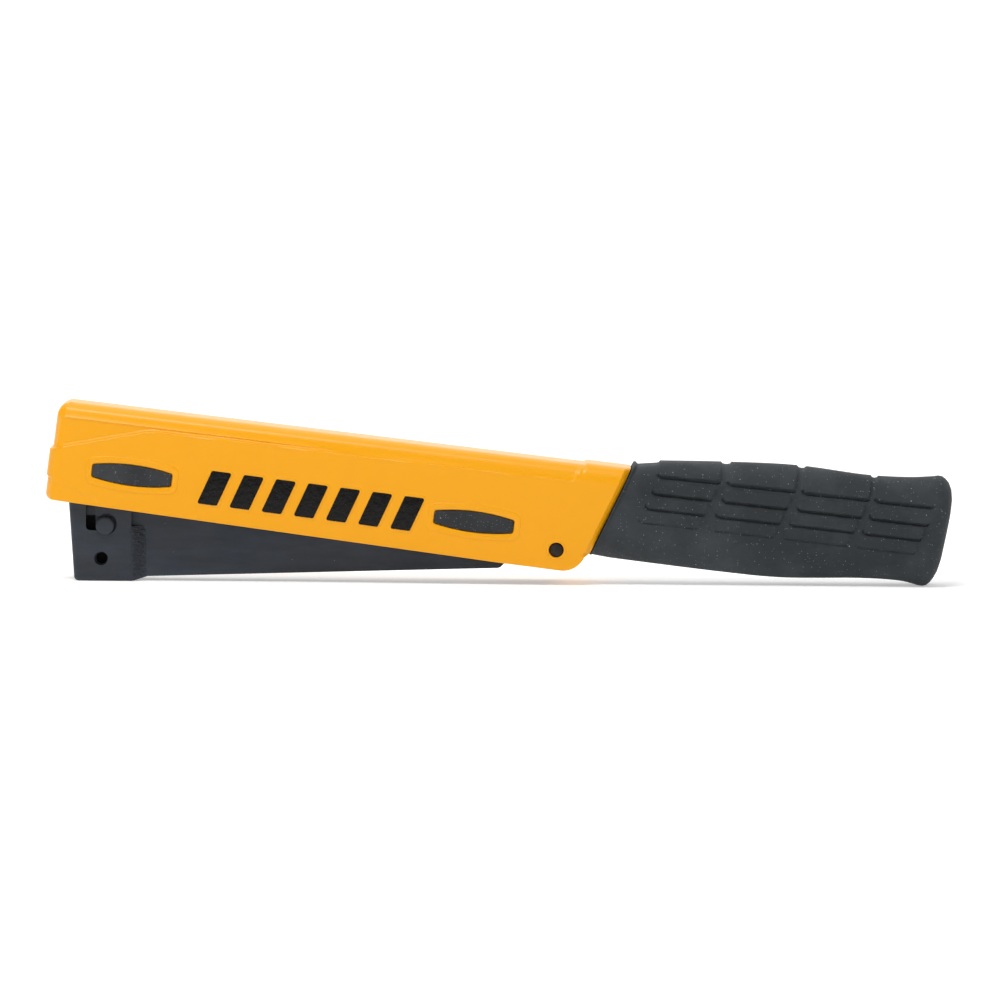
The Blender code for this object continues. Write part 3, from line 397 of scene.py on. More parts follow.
def ring_mesh(name, layers, outline_at, sign):
    """A closed moulding whose section, (margin, height) pairs in millimetres, follows an outline."""
    points = []
    for margin, height in layers:
        ring = outline_at(margin * MM)
        points += [(x, sign * (HALF + PANEL_PROUD + height * MM), z) for x, z in ring]
    count = len(outline_at(0.0))
    faces = tube_faces(len(layers), count)
    last = (len(layers) - 1) * count
    for index in range(count):
        following = (index + 1) % count
        faces.append((index, last + index, last + following, following))
    return add_mesh(name, points, faces, smooth_angle=30.0)


def circle_outline(radius, sides=64):
    turns = [2.0 * math.pi * step / sides for step in range(sides)]
    return [(radius * math.cos(turn), radius * math.sin(turn)) for turn in turns]


BEZEL_SECTION = (
    (0.0, -2.0), (0.0, 0.12), (0.12, 0.3), (0.35, 0.4), (1.9, 0.42), (2.25, 0.36), (2.45, 0.2), (2.55, 0.0),
    (2.6, -0.4), (1.4, -2.0),
)
BOSS_SECTION = (
    (2.86, -2.0), (2.86, 0.1), (2.98, 0.24), (3.2, 0.3), (3.5, 0.26), (3.72, 0.12), (3.85, -0.4), (3.4, -2.0),
)
PLINTH_LAYERS = ((1.15, -0.4), (1.1, 0.08), (0.98, 0.24), (0.8, 0.34), (0.55, 0.38))
ENAMEL_LAYERS = ((0.0, -0.2), (0.0, 0.1), (-0.08, 0.18), (-0.25, 0.23))


# Grip -----------------------------------------------------------------------------------------------

GRIP_STATIONS = (
    # bottom x, bottom z, top x, top z, half width, in millimetres
    (12.9, -0.8, 25.4, 36.2, 15.2),
    (24.7, -1.1, 36.5, 37.9, 15.4),
    (64.9, -1.1, 62.0, 40.9, 15.2),
    (87.7, -0.2, 87.0, 42.9, 15.0),
    (116.0, 3.3, 113.0, 42.7, 15.2),
    (131.0, 4.3, 129.0, 43.8, 15.9),
    (138.6, 3.47, 139.0, 45.4, 16.6),
)
GRIP_END = (
    (140.2, 3.45, 140.9, 45.9, 16.65), (141.6, 3.9, 142.4, 45.9, 16.4), (142.9, 5.2, 143.9, 45.1, 15.8),
    (144.0, 7.1, 145.3, 43.7, 14.9), (144.9, 9.3, 146.4, 41.6, 13.5), (145.5, 12.0, 147.1, 38.6, 11.4),
    (145.9, 16.0, 147.3, 34.4, 7.6), (146.3, 21.0, 147.1, 29.4, 3.4),
)
GRIP_SIDES = 320
GRIP_STEPS = 62
SQUARENESS = 2.5
COLUMNS = ((34.6, 23.0), (61.4, 25.0), (89.9, 24.8), (117.6, 22.6))
BLOCK_FOOT_Z = 33.2
BAR_ROWS = ((31.0, 4.6), (24.8, 4.4), (18.8, 4.0))
ROW_RISE = 0.015
ROW_RISE_FROM = 45.0
ROW_LEAN = 0.33
BAR_DROP = 0.85
GROOVE_DEPTH = 0.85 * MM
RIM_AT = 0.35 * MM
RIM_WIDTH = 0.6 * MM
RIM_HEIGHT = 0.16 * MM


def catmull(values, at):
    last = len(values) - 1
    index = min(int(at), last - 1)
    share = at - index
    before, low = values[max(index - 1, 0)], values[index]
    high, after = values[index + 1], values[min(index + 2, last)]
    return 0.5 * (
        2.0 * low + (high - before) * share
        + (2.0 * before - 5.0 * low + 4.0 * high - after) * share ** 2
        + (3.0 * low - before - 3.0 * high + after) * share ** 3
    )


def slanted_block(left, length, top, height, radius=1.1):
    """A parallelogram whose ends lean like the grip's bars, in metres."""
    rise = ROW_RISE * (left - ROW_RISE_FROM)
    corners = []
    for x, drop in ((left, 0.0), (left, height), (left + length, height), (left + length, 0.0)):
        z = top + rise - drop + ROW_RISE * (x - left)
        corners.append(((x - ROW_LEAN * (BAR_ROWS[0][0] - top + drop)) * MM, z * MM, radius * MM))
    return rounded(corners, 4)


def grip_relief(x, z):
    """How far the surface lies under the grip's outer shape: grooves round the bars and blocks."""
    raised = np.zeros_like(x)
    groove = np.zeros_like(x)
    rims = np.zeros_like(x)
    for left, length in COLUMNS:
        for top, height in BAR_ROWS:
            bar = polygon_distance(x, z, slanted_block(left, length, top, height))
            raised = np.maximum(raised, step_up(bar, 0.38 * MM))
            rims = np.maximum(rims, bead(bar - RIM_AT, RIM_WIDTH, RIM_HEIGHT))
            under = polygon_distance(x, z, slanted_block(left, length, top - BAR_DROP, height))
            groove = np.maximum(groove, step_up(under, 0.4 * MM))
        foot = (BLOCK_FOOT_Z + ROW_RISE * (left - ROW_RISE_FROM)) * MM
        block = rounded([
            ((left + 0.2) * MM, foot, 1.3 * MM), ((left + length + 0.6) * MM, foot + 0.6 * MM, 1.3 * MM),
            ((left + length + 1.9) * MM, foot + 30.0 * MM, 0.0), ((left + 1.0) * MM, foot + 30.0 * MM, 0.0),
        ])
        edge = polygon_distance(x, z, block)
        raised = np.maximum(raised, step_up(edge, 0.45 * MM))
        rims = np.maximum(rims, bead(edge - RIM_AT, RIM_WIDTH, RIM_HEIGHT))
        groove = np.maximum(groove, step_up(edge - BAR_DROP * MM, 0.4 * MM) * (z < foot + 0.6 * MM))
    low_line = (13.2 + ROW_RISE * (x / MM - ROW_RISE_FROM)) * MM
    fade = np.clip((z - low_line) / (3.0 * MM), 0.0, 1.0)
    fade = fade * (0.5 + 0.5 * np.clip((z - low_line) / (12.0 * MM), 0.0, 1.0))
    seam = 12.0 * MM + (z + 1.0 * MM) * SEAM_LEAN
    lip = step_up(x - seam - 1.6 * MM, 1.0 * MM)
    rim = step_up(139.6 * MM - x, 1.4 * MM)
    start = np.clip((x - seam) / (9.0 * MM), 0.0, 1.0)
    raised = np.maximum(raised, np.maximum(rim, lip * 0.8))
    depth = GROOVE_DEPTH * (fade + groove * np.sqrt(fade)) * (1.0 - raised)
    over_seam = 0.35 * MM * (1.0 - start) * (1.0 - lip)
    return rims - depth - over_seam


def grip_ring(station, squareness):
    bottom_x, bottom_z, top_x, top_z, half_width = (value * MM for value in station)
    turn = 2.0 * math.pi * np.arange(GRIP_SIDES) / GRIP_SIDES
    across = np.sign(np.cos(turn)) * np.abs(np.cos(turn)) ** (2.0 / squareness)
    up = np.sign(np.sin(turn)) * np.abs(np.sin(turn)) ** (2.0 / squareness)
    share = 0.5 + 0.5 * up
    ring = np.stack([
        bottom_x + (top_x - bottom_x) * share, half_width * across,
        bottom_z + (top_z - bottom_z) * share], axis=-1)
    return spread_evenly(ring)


def spread_evenly(ring):
    """The same closed ring with its points at equal distances."""
    closed = np.vstack([ring, ring[:1]])
    walked = np.concatenate([[0.0], np.cumsum(np.linalg.norm(np.diff(closed, axis=0), axis=1))])
    wanted = np.linspace(0.0, walked[-1], len(ring) + 1)[:-1]
    return np.stack([np.interp(wanted, walked, closed[:, axis]) for axis in range(3)], axis=-1)


def grip_mesh():
    rings = []
    spans = len(GRIP_STATIONS) - 1
    for step in range(spans * GRIP_STEPS + 1):
        at = step / GRIP_STEPS
        station = [catmull(column, at) for column in zip(*GRIP_STATIONS)]
        squareness = SQUARENESS + 2.5 * max(0.0, 1.0 - at / 2.0)
        rings.append(grip_ring(station, squareness))
    rings += [grip_ring(station, SQUARENESS) for station in GRIP_END]
    rings = np.array(rings)
    normals = np.cross(np.gradient(rings, axis=0), np.roll(rings, -1, axis=1) - np.roll(rings, 1, axis=1))
    normals /= np.maximum(np.linalg.norm(normals, axis=-1, keepdims=True), 1e-12)
    outward = rings - rings.mean(axis=1, keepdims=True)
    outward[:, :, 0] = 0.0
    normals *= np.sign(np.sum(normals * outward, axis=-1, keepdims=True) + 1e-12)
    relief = grip_relief(rings[:, :, 0], rings[:, :, 2])
    body = np.arange(len(rings)) <= spans * GRIP_STEPS
    rings = rings + normals * (relief * body[:, None])[:, :, None]
    points = rings.reshape(-1, 3)
    faces = tube_faces(len(rings), GRIP_SIDES)
    faces.append(tuple(range(GRIP_SIDES)))
    faces.append(tuple(range(len(points) - GRIP_SIDES, len(points))))
    return add_mesh("grip_sleeve", points, faces, smooth_angle=60.0)


# Materials ------------------------------------------------------------------------------------------

FLOOR_GLOW = 0.4
FAR_GLOW = 0.8


class Shader:
    """A Principled material and short ways to add nodes to it."""

    def __init__(self, name, colour, roughness, metallic=0.0, specular=0.3):
        self.material = bpy.data.materials.new(name)
        self.material.use_nodes = True
        self.nodes = self.material.node_tree.nodes
        self.links = self.material.node_tree.links
        self.shader = self.nodes["Principled BSDF"]
        self.shader.inputs["Base Color"].default_value = (*colour, 1.0)
        self.shader.inputs["Roughness"].default_value = roughness
        self.shader.inputs["Metallic"].default_value = metallic
        self.shader.inputs["Specular IOR Level"].default_value = specular
        self.place = self.nodes.new("ShaderNodeTexCoord").outputs["Object"]

    def stretched(self, scale, turn=0.0):
        """The object's own coordinates, turned about Y and scaled for grain that runs one way."""
        node = self.nodes.new("ShaderNodeMapping")
        node.inputs["Scale"].default_value = scale
        node.inputs["Rotation"].default_value = (0.0, turn, 0.0)
        self.links.new(self.place, node.inputs["Vector"])
        return node.outputs["Vector"]

    def noise(self, scale, detail=4.0, roughness=0.55, place=None):
        node = self.nodes.new("ShaderNodeTexNoise")
        node.inputs["Scale"].default_value = scale
        node.inputs["Detail"].default_value = detail
        node.inputs["Roughness"].default_value = roughness
        self.links.new(place or self.place, node.inputs["Vector"])
        return node.outputs["Fac"]

    def specks(self, scale, share, radius):
        """1 at small round dots in a share of the cells, 0 elsewhere."""
        cells = self.nodes.new("ShaderNodeTexVoronoi")
        cells.inputs["Scale"].default_value = scale
        self.links.new(self.place, cells.inputs["Vector"])
        split = self.nodes.new("ShaderNodeSeparateColor")
        self.links.new(cells.outputs["Color"], split.inputs["Color"])
        chosen = self.maths("LESS_THAN", split.outputs["Red"], share)
        size = self.ramp(split.outputs["Green"], 0.0, 1.0, radius * 0.6, radius * 1.5)
        return self.maths("MULTIPLY", chosen, self.maths("LESS_THAN", cells.outputs["Distance"], size))

    def ramp(self, value, low, high, from_value=0.0, to_value=1.0):
        node = self.nodes.new("ShaderNodeMapRange")
        node.inputs["From Min"].default_value = low
        node.inputs["From Max"].default_value = high
        node.inputs["To Min"].default_value = from_value
        node.inputs["To Max"].default_value = to_value
        self.links.new(value, node.inputs["Value"])
        return node.outputs["Result"]

    def maths(self, operation, first, second):
        node = self.nodes.new("ShaderNodeMath")
        node.operation = operation
        for socket, value in zip(node.inputs, (first, second)):
            if isinstance(value, (int, float)):
                socket.default_value = value
            else:
                self.links.new(value, socket)
        return node.outputs["Value"]

    def mix(self, share, first, second):
        node = self.nodes.new("ShaderNodeMix")
        node.data_type = "RGBA"
        colours = [socket for socket in node.inputs if socket.type == "RGBA"]
        for socket, value in zip(colours, (first, second)):
            if isinstance(value, tuple):
                socket.default_value = (*value, 1.0)
            else:
                self.links.new(value, socket)
        self.links.new(share, node.inputs["Factor"])
        return next(socket for socket in node.outputs if socket.type == "RGBA")

    def colour(self, value):
        self.links.new(value, self.shader.inputs["Base Color"])

    def roughness(self, value):
        self.links.new(value, self.shader.inputs["Roughness"])

    def bump(self, height, distance, strength=1.0):
        node = self.nodes.new("ShaderNodeBump")
        node.inputs["Strength"].default_value = strength
        node.inputs["Distance"].default_value = distance
        self.links.new(height, node.inputs["Height"])
        self.links.new(node.outputs["Normal"], self.shader.inputs["Normal"])


def powder_coat():
    """Glossy orange-yellow powder coat: a faint orange peel and a slight drift of shade."""
    made = Shader("powder_coat", (0.83, 0.352, 0.003), 0.3, specular=0.25)
    drift = made.noise(14.0, 3.0)
    made.colour(made.mix(made.ramp(drift, 0.3, 0.7), (0.82, 0.347, 0.002), (0.835, 0.357, 0.004)))
    made.roughness(made.ramp(made.noise(220.0, 1.0), 0.3, 0.7, 0.29, 0.33))
    made.bump(made.noise(700.0, 1.0), 0.00002, 0.15)
    return made.material


def gloss_black():
    """Thick glossy black enamel with a lumpy, brushed-out surface."""
    made = Shader("gloss_black_enamel", (0.003, 0.0028, 0.0026), 0.12, specular=0.16)
    ripple = made.maths("MULTIPLY", made.noise(1500.0, 2.0), 0.35)
    lumps = made.maths("ADD", made.noise(420.0, 3.0, 0.6), ripple)
    made.colour(made.mix(made.ramp(lumps, 0.45, 0.95), (0.003, 0.0028, 0.0026), (0.007, 0.006, 0.0054)))
    made.roughness(made.ramp(lumps, 0.4, 0.9, 0.1, 0.3))
    made.bump(lumps, 0.0006, 1.0)
    return made.material


def moulded_rubber(name, colour, speck_share, grain=1700.0):
    """Matt moulded rubber: fine grain, dusty patches and sparse pale specks of lint."""
    made = Shader(name, colour, 0.72, specular=0.22)
    dark = tuple(value * 0.86 for value in colour)
    dusty = tuple(value * 1.35 + 0.006 for value in colour)
    patches = made.ramp(made.noise(38.0, 5.0, 0.62), 0.42, 0.72)
    base = made.mix(patches, dark, dusty)
    coarse = made.specks(430.0, speck_share, 0.085)
    fine = made.specks(1250.0, speck_share * 1.6, 0.14)
    made.colour(made.mix(made.maths("MAXIMUM", coarse, fine), base, (0.20, 0.21, 0.21)))
    made.roughness(made.ramp(made.noise(90.0, 4.0), 0.3, 0.7, 0.62, 0.82))
    made.bump(made.noise(grain, 3.0, 0.7), 0.00006, 0.6)
    return made.material


def blued_steel(name, rough_weld=False):
    """Dark slate blued sheet: long smudges along the tool, browner clouds, pale scuffs and pits."""
    made = Shader(name, (0.03, 0.037, 0.046), 0.42, metallic=0.35, specular=0.25)
    along = made.stretched((18.0, 60.0, 90.0))
    smudge = made.ramp(made.noise(1.0, 6.0, 0.62, along), 0.34, 0.7)
    cloud = made.ramp(made.noise(45.0, 4.0, 0.6), 0.4, 0.72)
    base = made.mix(smudge, (0.024, 0.029, 0.035), (0.044, 0.054, 0.072))
    base = made.mix(made.maths("MULTIPLY", cloud, 0.35), base, (0.05, 0.046, 0.046))
    scuffs = made.noise(1.0, 8.0, 0.75, made.stretched((260.0, 300.0, 900.0), math.radians(14.0)))
    pale = made.ramp(scuffs, 0.70, 0.78)
    dust = made.specks(620.0, 0.045, 0.07)
    marks = made.maths("MAXIMUM", made.maths("MULTIPLY", pale, 0.25), made.maths("MULTIPLY", dust, 0.8))
    made.colour(made.mix(marks, base, (0.42, 0.43, 0.44)))
    made.roughness(made.ramp(made.noise(60.0, 5.0), 0.3, 0.7, 0.36, 0.54))
    if rough_weld:
        made.bump(made.maths("ADD", made.noise(1100.0, 4.0, 0.7), made.noise(260.0, 3.0)), 0.0005, 1.0)
    else:
        made.bump(made.noise(500.0, 4.0, 0.6, made.stretched((1.0, 1.0, 3.0))), 0.00005, 0.5)
    return made.material


def bright_steel(name, colour=(0.56, 0.56, 0.57), roughness=0.3):
    """Ground or drawn bright metal with a fine grain along the tool and light handling stains."""
    made = Shader(name, colour, roughness, metallic=1.0)
    grain = made.noise(1.0, 4.0, 0.6, made.stretched((60.0, 2400.0, 2400.0)))
    stain = made.ramp(made.noise(55.0, 4.0), 0.4, 0.75)
    darker = tuple(value * 0.72 for value in colour)
    made.colour(made.mix(stain, colour, darker))
    made.roughness(made.ramp(grain, 0.3, 0.7, roughness * 0.8, roughness * 1.35))
    made.bump(grain, 0.00002, 0.4)
    return made.material


def dark_pin_steel():
    """Blackened pin ends, slightly brown and pitted."""
    made = Shader("blackened_pin", (0.022, 0.017, 0.014), 0.5, metallic=0.4)
    stain = made.ramp(made.noise(300.0, 4.0), 0.4, 0.7)
    made.colour(made.mix(stain, (0.018, 0.014, 0.012), (0.045, 0.034, 0.027)))
    made.roughness(made.ramp(made.noise(500.0, 3.0), 0.3, 0.7, 0.4, 0.62))
    made.bump(made.noise(1600.0, 3.0), 0.00006, 0.6)
    return made.material


def painted_shade_black():
    """Matt black painted on the steel pieces behind the nose's holes as painted shade, so that the holes look
    dark.
    """
    return Shader("painted_shade_black", (0.006, 0.006, 0.006), 0.7, specular=0.1).material


def studio_floor():
    """A pale matt sweep that glows a little more away from the tool, so that it stays white there."""
    made = Shader("pale_sweep", (0.8, 0.8, 0.8), 0.9, specular=0.0)
    distance = made.nodes.new("ShaderNodeVectorMath")
    distance.operation = "LENGTH"
    made.links.new(made.place, distance.inputs[0])
    made.shader.inputs["Emission Color"].default_value = (1.0, 1.0, 1.0, 1.0)
    glow = made.ramp(distance.outputs["Value"], 0.5, 1.3, FLOOR_GLOW, FAR_GLOW)
    made.links.new(glow, made.shader.inputs["Emission Strength"])
    return made.material


# Steel ----------------------------------------------------------------------------------------------

CHANNEL_HALF = 7.6 * MM
CHANNEL_WALL = 1.4 * MM
CHANNEL_FRONT_X = -178.6 * MM
CHANNEL_REAR_X = -19.7 * MM
CHANNEL_LOW_Z = -7.0 * MM
CHANNEL_MID_Z = 13.5 * MM
CHANNEL_HIGH_Z = 21.0 * MM
SOLE_Z = -PIVOT.z
NOSE_HALF = 11.0 * MM
NOSE_WALL = 1.5 * MM
NOSE_REAR_X = -161.5 * MM
NOSE_TOP_Z = 24.0 * MM
NOSE_FRONT_X = -183.2 * MM
NOSE_LEAN = math.tan(math.radians(4.2))
NOSE_PIN = (-171.6 * MM, 7.6 * MM)
RAIL_FRONT_X = -178.8 * MM
RIVETS = ((-44.0 * MM, 0.0), (-22.5 * MM, -1.5 * MM))
FAR_OUT = 30.0 * MM


def solid(name, outline, y_low, y_high):
    """A closed prism between two y planes, in its own frame."""
    count = len(outline)
    points = [(x, y_low, z) for x, z in outline] + [(x, y_high, z) for x, z in outline]
    faces = tube_faces(2, count) + [tuple(range(count)), tuple(range(count, 2 * count))]
    return add_mesh(name, points, faces, Matrix.Identity(4))


def cylinder(name, x, z, radius):
    outline = [(x + along, z + up) for along, up in circle_outline(radius, 48)]
    return solid(name, outline, -FAR_OUT, FAR_OUT)


def apply_modifier(item, kind, **settings):
    modifier = item.modifiers.new(kind, kind)
    for key, value in settings.items():
        setattr(modifier, key, value)
    graph = bpy.context.evaluated_depsgraph_get()
    mesh = bpy.data.meshes.new_from_object(item.evaluated_get(graph))
    item.modifiers.clear()
    old = item.data
    item.data = mesh
    bpy.data.meshes.remove(old)


def cut(item, *cutters):
    for cutter in cutters:
        apply_modifier(item, "BOOLEAN", operation="DIFFERENCE", object=cutter)
        bpy.data.objects.remove(cutter)


def soften(item, width, segments=2, angle=38.0):
    apply_modifier(
        item, "BEVEL", width=width, segments=segments, limit_method="ANGLE", angle_limit=math.radians(angle),
        use_clamp_overlap=True, miter_outer="MITER_ARC")


def bend_edges(item, radius, segments, chosen):
    """Rounds the edges whose two ends pass a test."""
    shape = bmesh.new()
    shape.from_mesh(item.data)
    edges = [edge for edge in shape.edges if chosen(edge.verts[0].co, edge.verts[1].co)]
    bmesh.ops.bevel(
        shape, geom=edges, offset=radius, offset_type="OFFSET", segments=segments, profile=0.5,
        affect="EDGES")
    bmesh.ops.recalc_face_normals(shape, faces=shape.faces)
    shape.to_mesh(item.data)
    shape.free()


def seat_in(item, place, smooth_angle=38.0):
    """Moves a finished piece from its own frame to its place on the tool."""
    item.data.transform(place)
    item.data.shade_smooth()
    item.data.set_sharp_from_angle(angle=math.radians(smooth_angle))
    apply_modifier(item, "WEIGHTED_NORMAL", keep_sharp=True, weight=100)
    return item


def nose_front(z):
    return NOSE_FRONT_X - (z - SOLE_Z) * NOSE_LEAN


def nose_block(name, inset, rear, top, bend):
    """The wrap's outer or inner shape: bent round the two front corners and along the sole."""
    low = SOLE_Z + inset
    half = NOSE_HALF - inset
    outline = [(nose_front(low) + inset, low), (rear, low), (rear, top), (nose_front(top) + inset, top)]
    block = solid(name, outline, -half, half)
    bend_edges(
        block, bend * 1.5, 7,
        lambda a, b: abs(a.y - b.y) < 1e-6 and max(a.x, b.x) < rear - 1e-3)
    bend_edges(
        block, bend, 5,
        lambda a, b: max(abs(a.z - low), abs(b.z - low)) < 1e-5 and min(a.x, b.x) < rear - 1e-4)
    return block


def nose_wrap_mesh():
    wrap = nose_block("nose_wrap_sheet", 0.0, NOSE_REAR_X, NOSE_TOP_Z, 1.5 * MM)
    pin_x, pin_z = NOSE_PIN
    leg = rounded([
        (pin_x - 7.2 * MM, pin_z - 1.8 * MM, 1.6 * MM), (pin_x + 1.0 * MM, pin_z - 1.8 * MM, 0.0),
        (pin_x + 1.0 * MM, pin_z + 3.7 * MM, 0.0), (pin_x - 3.9 * MM, pin_z + 3.7 * MM, 1.0 * MM),
        (pin_x - 3.9 * MM, NOSE_TOP_Z + 5.0 * MM, 0.0), (pin_x - 7.2 * MM, NOSE_TOP_Z + 5.0 * MM, 0.0),
    ], 5)
    exit_half = 5.8 * MM
    slot = [
        (NOSE_FRONT_X + NOSE_WALL, SOLE_Z - 3.0 * MM), (RAIL_FRONT_X, SOLE_Z - 3.0 * MM),
        (RAIL_FRONT_X, SOLE_Z + 3.0 * MM), (NOSE_FRONT_X + NOSE_WALL, SOLE_Z + 3.0 * MM),
    ]
    cut(
        wrap, nose_block("nose_hollow", NOSE_WALL, NOSE_REAR_X + 5.0 * MM, NOSE_TOP_Z + 5.0 * MM, 0.7 * MM),
        solid("hook_leg", leg, -FAR_OUT, FAR_OUT), solid("staple_exit", slot, -exit_half, exit_half),
        cylinder("hook_seat", pin_x + 0.5 * MM, pin_z + 0.6 * MM, 4.0 * MM),
        cylinder("cheek_hole", -173.0 * MM, -4.9 * MM, 2.6 * MM))
    soften(wrap, 0.22 * MM)
    return seat_in(wrap, LEVEL)


def channel_mesh():
    side = rounded([
        (CHANNEL_FRONT_X, CHANNEL_LOW_Z, 0.0), (CHANNEL_REAR_X, CHANNEL_LOW_Z, 3.2 * MM),
        (CHANNEL_REAR_X, 1.0 * MM, 1.5 * MM), (-50.0 * MM, 2.5 * MM, 4.0 * MM),
        (-60.0 * MM, CHANNEL_MID_Z, 4.0 * MM), (-123.0 * MM, CHANNEL_MID_Z, 20.0 * MM),
        (-152.0 * MM, CHANNEL_HIGH_Z, 10.0 * MM), (CHANNEL_FRONT_X, CHANNEL_HIGH_Z, 2.0 * MM),
    ], 8)
    body = solid("magazine_channel_sheet", side, -CHANNEL_HALF, CHANNEL_HALF)
    bend_edges(
        body, 1.2 * MM, 5,
        lambda a, b: max(a.z, b.z) < CHANNEL_LOW_Z + 1e-5 and abs(a.y - b.y) < 1e-6)
    inner = CHANNEL_HALF - CHANNEL_WALL
    floor = CHANNEL_LOW_Z + 1.2 * MM
    hollow = [(-0.2, floor), (0.0, floor), (0.0, 40.0 * MM), (-0.2, 40.0 * MM)]
    sole_room = [
        (CHANNEL_FRONT_X - 9.0 * MM, SOLE_Z - 9.0 * MM), (NOSE_REAR_X + 0.3 * MM, SOLE_Z - 9.0 * MM),
        (NOSE_REAR_X + 0.3 * MM, SOLE_Z + 1.8 * MM), (CHANNEL_FRONT_X - 9.0 * MM, SOLE_Z + 1.8 * MM),
    ]
    room = solid("sole_room", sole_room, -FAR_OUT, FAR_OUT)
    room.data.transform(MAGAZINE.inverted() @ LEVEL)
    pin = MAGAZINE.inverted() @ LEVEL @ Vector((NOSE_PIN[0], 0.0, NOSE_PIN[1]))
    bores = [cylinder("rivet_bore", x, z, 1.8 * MM) for x, z in RIVETS]
    hook_window = rounded([
        (-180.0 * MM, 5.4 * MM, 0.0), (-174.9 * MM, 5.4 * MM, 1.0 * MM), (-174.9 * MM, 16.9 * MM, 0.0),
        (-180.0 * MM, 16.9 * MM, 0.0)])
    cut(
        body, solid("hook_window", hook_window, -FAR_OUT, FAR_OUT),
        cylinder("cheek_window", -172.9 * MM, 0.5 * MM, 2.2 * MM))
    cut(
        body, solid("channel_hollow", hollow, -inner, inner), room,
        cylinder("pin_bore", pin.x, pin.z, 2.8 * MM), *bores)
    soften(body, 0.2 * MM)
    return seat_in(body, MAGAZINE)


def weld_mesh(side_name, sign):
    """A rough fillet that runs down the wrap's rear edge to the channel."""
    rows, low, high = 150, -8.3 * MM, 12.4 * MM
    path = ((-161.4, 7.7), (-162.1, 11.02), (-161.4, 11.18), (-160.7, 10.95), (-160.0, 10.45), (-159.3, 9.9),
            (-158.6, 9.3), (-157.9, 8.75), (-157.2, 8.2), (-156.5, 7.8), (-155.9, 7.62), (-156.4, 7.5))
    lumpy = range(2, len(path) - 2)
    points = []
    for row in range(rows + 1):
        share = row / rows
        ends = min(1.0, share * 12.0, (1.0 - share) * 12.0)
        for index, (x, y) in enumerate(path):
            behind = (x + 161.0) / 5.0
            z = low + (high - low) * share + 1.3 * MM * max(behind, 0.0) * (1.0 - share) ** 6
            place = Vector((x * 0.9, sign * 11.0, z / MM * 0.9))
            lump = 0.28 * noise.noise(place) + 0.2 * noise.noise(place * 2.7) + 0.1 * noise.noise(place * 6.1)
            out = lump * ends if index in lumpy else 0.0
            points.append(((x + 0.5 * out) * MM, sign * (y * (0.97 + 0.03 * ends) + out) * MM, z))
    count = len(path)
    faces = tube_faces(rows + 1, count)
    faces += [tuple(range(count)), tuple(range(rows * count, (rows + 1) * count))]
    return add_mesh(f"weld_fillet_{side_name}", points, faces, MAGAZINE, smooth_angle=70.0)


def turned_mesh(name, x, z, profile, place):
    """A piece turned about the Y direction from (y, radius) pairs, with its two ends closed."""
    sides = 72
    points = []
    for y, radius in profile:
        for step in range(sides):
            turn = 2.0 * math.pi * step / sides
            points.append((x + radius * math.cos(turn), y, z + radius * math.sin(turn)))
    faces = tube_faces(len(profile), sides)
    faces += [tuple(range(sides)), tuple(range(len(points) - sides, len(points)))]
    return add_mesh(name, points, faces, place, smooth_angle=28.0)


def mirrored_profile(half):
    return [(-y, radius) for y, radius in reversed(half)] + list(half)


def nose_pin_mesh():
    """The hooked pin: two flat heads with a broad round chamfer."""
    head = [(11.29, 2.5), (11.3, 3.35), (11.36, 3.5), (11.78, 3.5)]
    head += [(12.4 - 0.62 * (1.0 - math.sin(turn)), 2.5 + 1.0 * math.cos(turn))
             for turn in (math.pi / 2.0 * step / 7 for step in range(1, 8))]
    head.append((12.4, 1.0))
    profile = mirrored_profile([(y * MM, radius * MM) for y, radius in head])
    return turned_mesh("nose_pin", *NOSE_PIN, profile, LEVEL)


def pivot_pin_mesh():
    half = [(15.1 * MM, 2.7 * MM), (15.36 * MM, 2.62 * MM), (15.47 * MM, 2.42 * MM), (15.5 * MM, 2.1 * MM)]
    return turned_mesh("pivot_pin_turned", 0.0, 0.0, mirrored_profile(half), HANDLE)


def spring_mesh(name, start, axis, mean_radius, wire_radius, length, turns, place):
    """A compression spring with closed end coils, as one round wire."""
    along = Vector(axis).normalized()
    side = along.orthogonal().normalized()
    up = along.cross(side)
    steps, sides, closed = 36, 12, 1.0
    count = round(turns * steps) + 1
    span = length - 2.2 * wire_radius
    end_rise = 2.1 * wire_radius * closed
    points = []
    for index in range(count):
        turned = turns * index / (count - 1)
        middle = (span - 2.0 * end_rise) / (turns - 2.0 * closed)
        rise = min(turned, closed) * end_rise + max(0.0, min(turned, turns - closed) - closed) * middle
        rise += max(0.0, turned - turns + closed) * end_rise
        angle = 2.0 * math.pi * turned
        out = side * math.cos(angle) + up * math.sin(angle)
        centre = Vector(start) + along * (rise + 1.1 * wire_radius) + out * mean_radius
        for corner in range(sides):
            around = 2.0 * math.pi * corner / sides
            points.append(centre + wire_radius * (out * math.cos(around) + along * math.sin(around)))
    faces = tube_faces(count, sides)
    faces += [tuple(range(sides)), tuple(range(len(points) - sides, len(points)))]
    return add_mesh(name, points, faces, place, smooth_angle=60.0)


# Assembly -------------------------------------------------------------------------------------------

def dress(piece, body, slot, finish, *nodes):
    """Gives a new piece its body, finish and the CAD nodes that it stands for."""
    piece.data.materials.clear()
    piece.data.materials.append(finish)
    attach(piece, body)
    if nodes:
        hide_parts(*nodes)


def paint_nodes(finish, *nodes):
    for node in nodes:
        mesh = bpy.data.objects[node].data
        mesh.materials.clear()
        mesh.materials.append(finish)


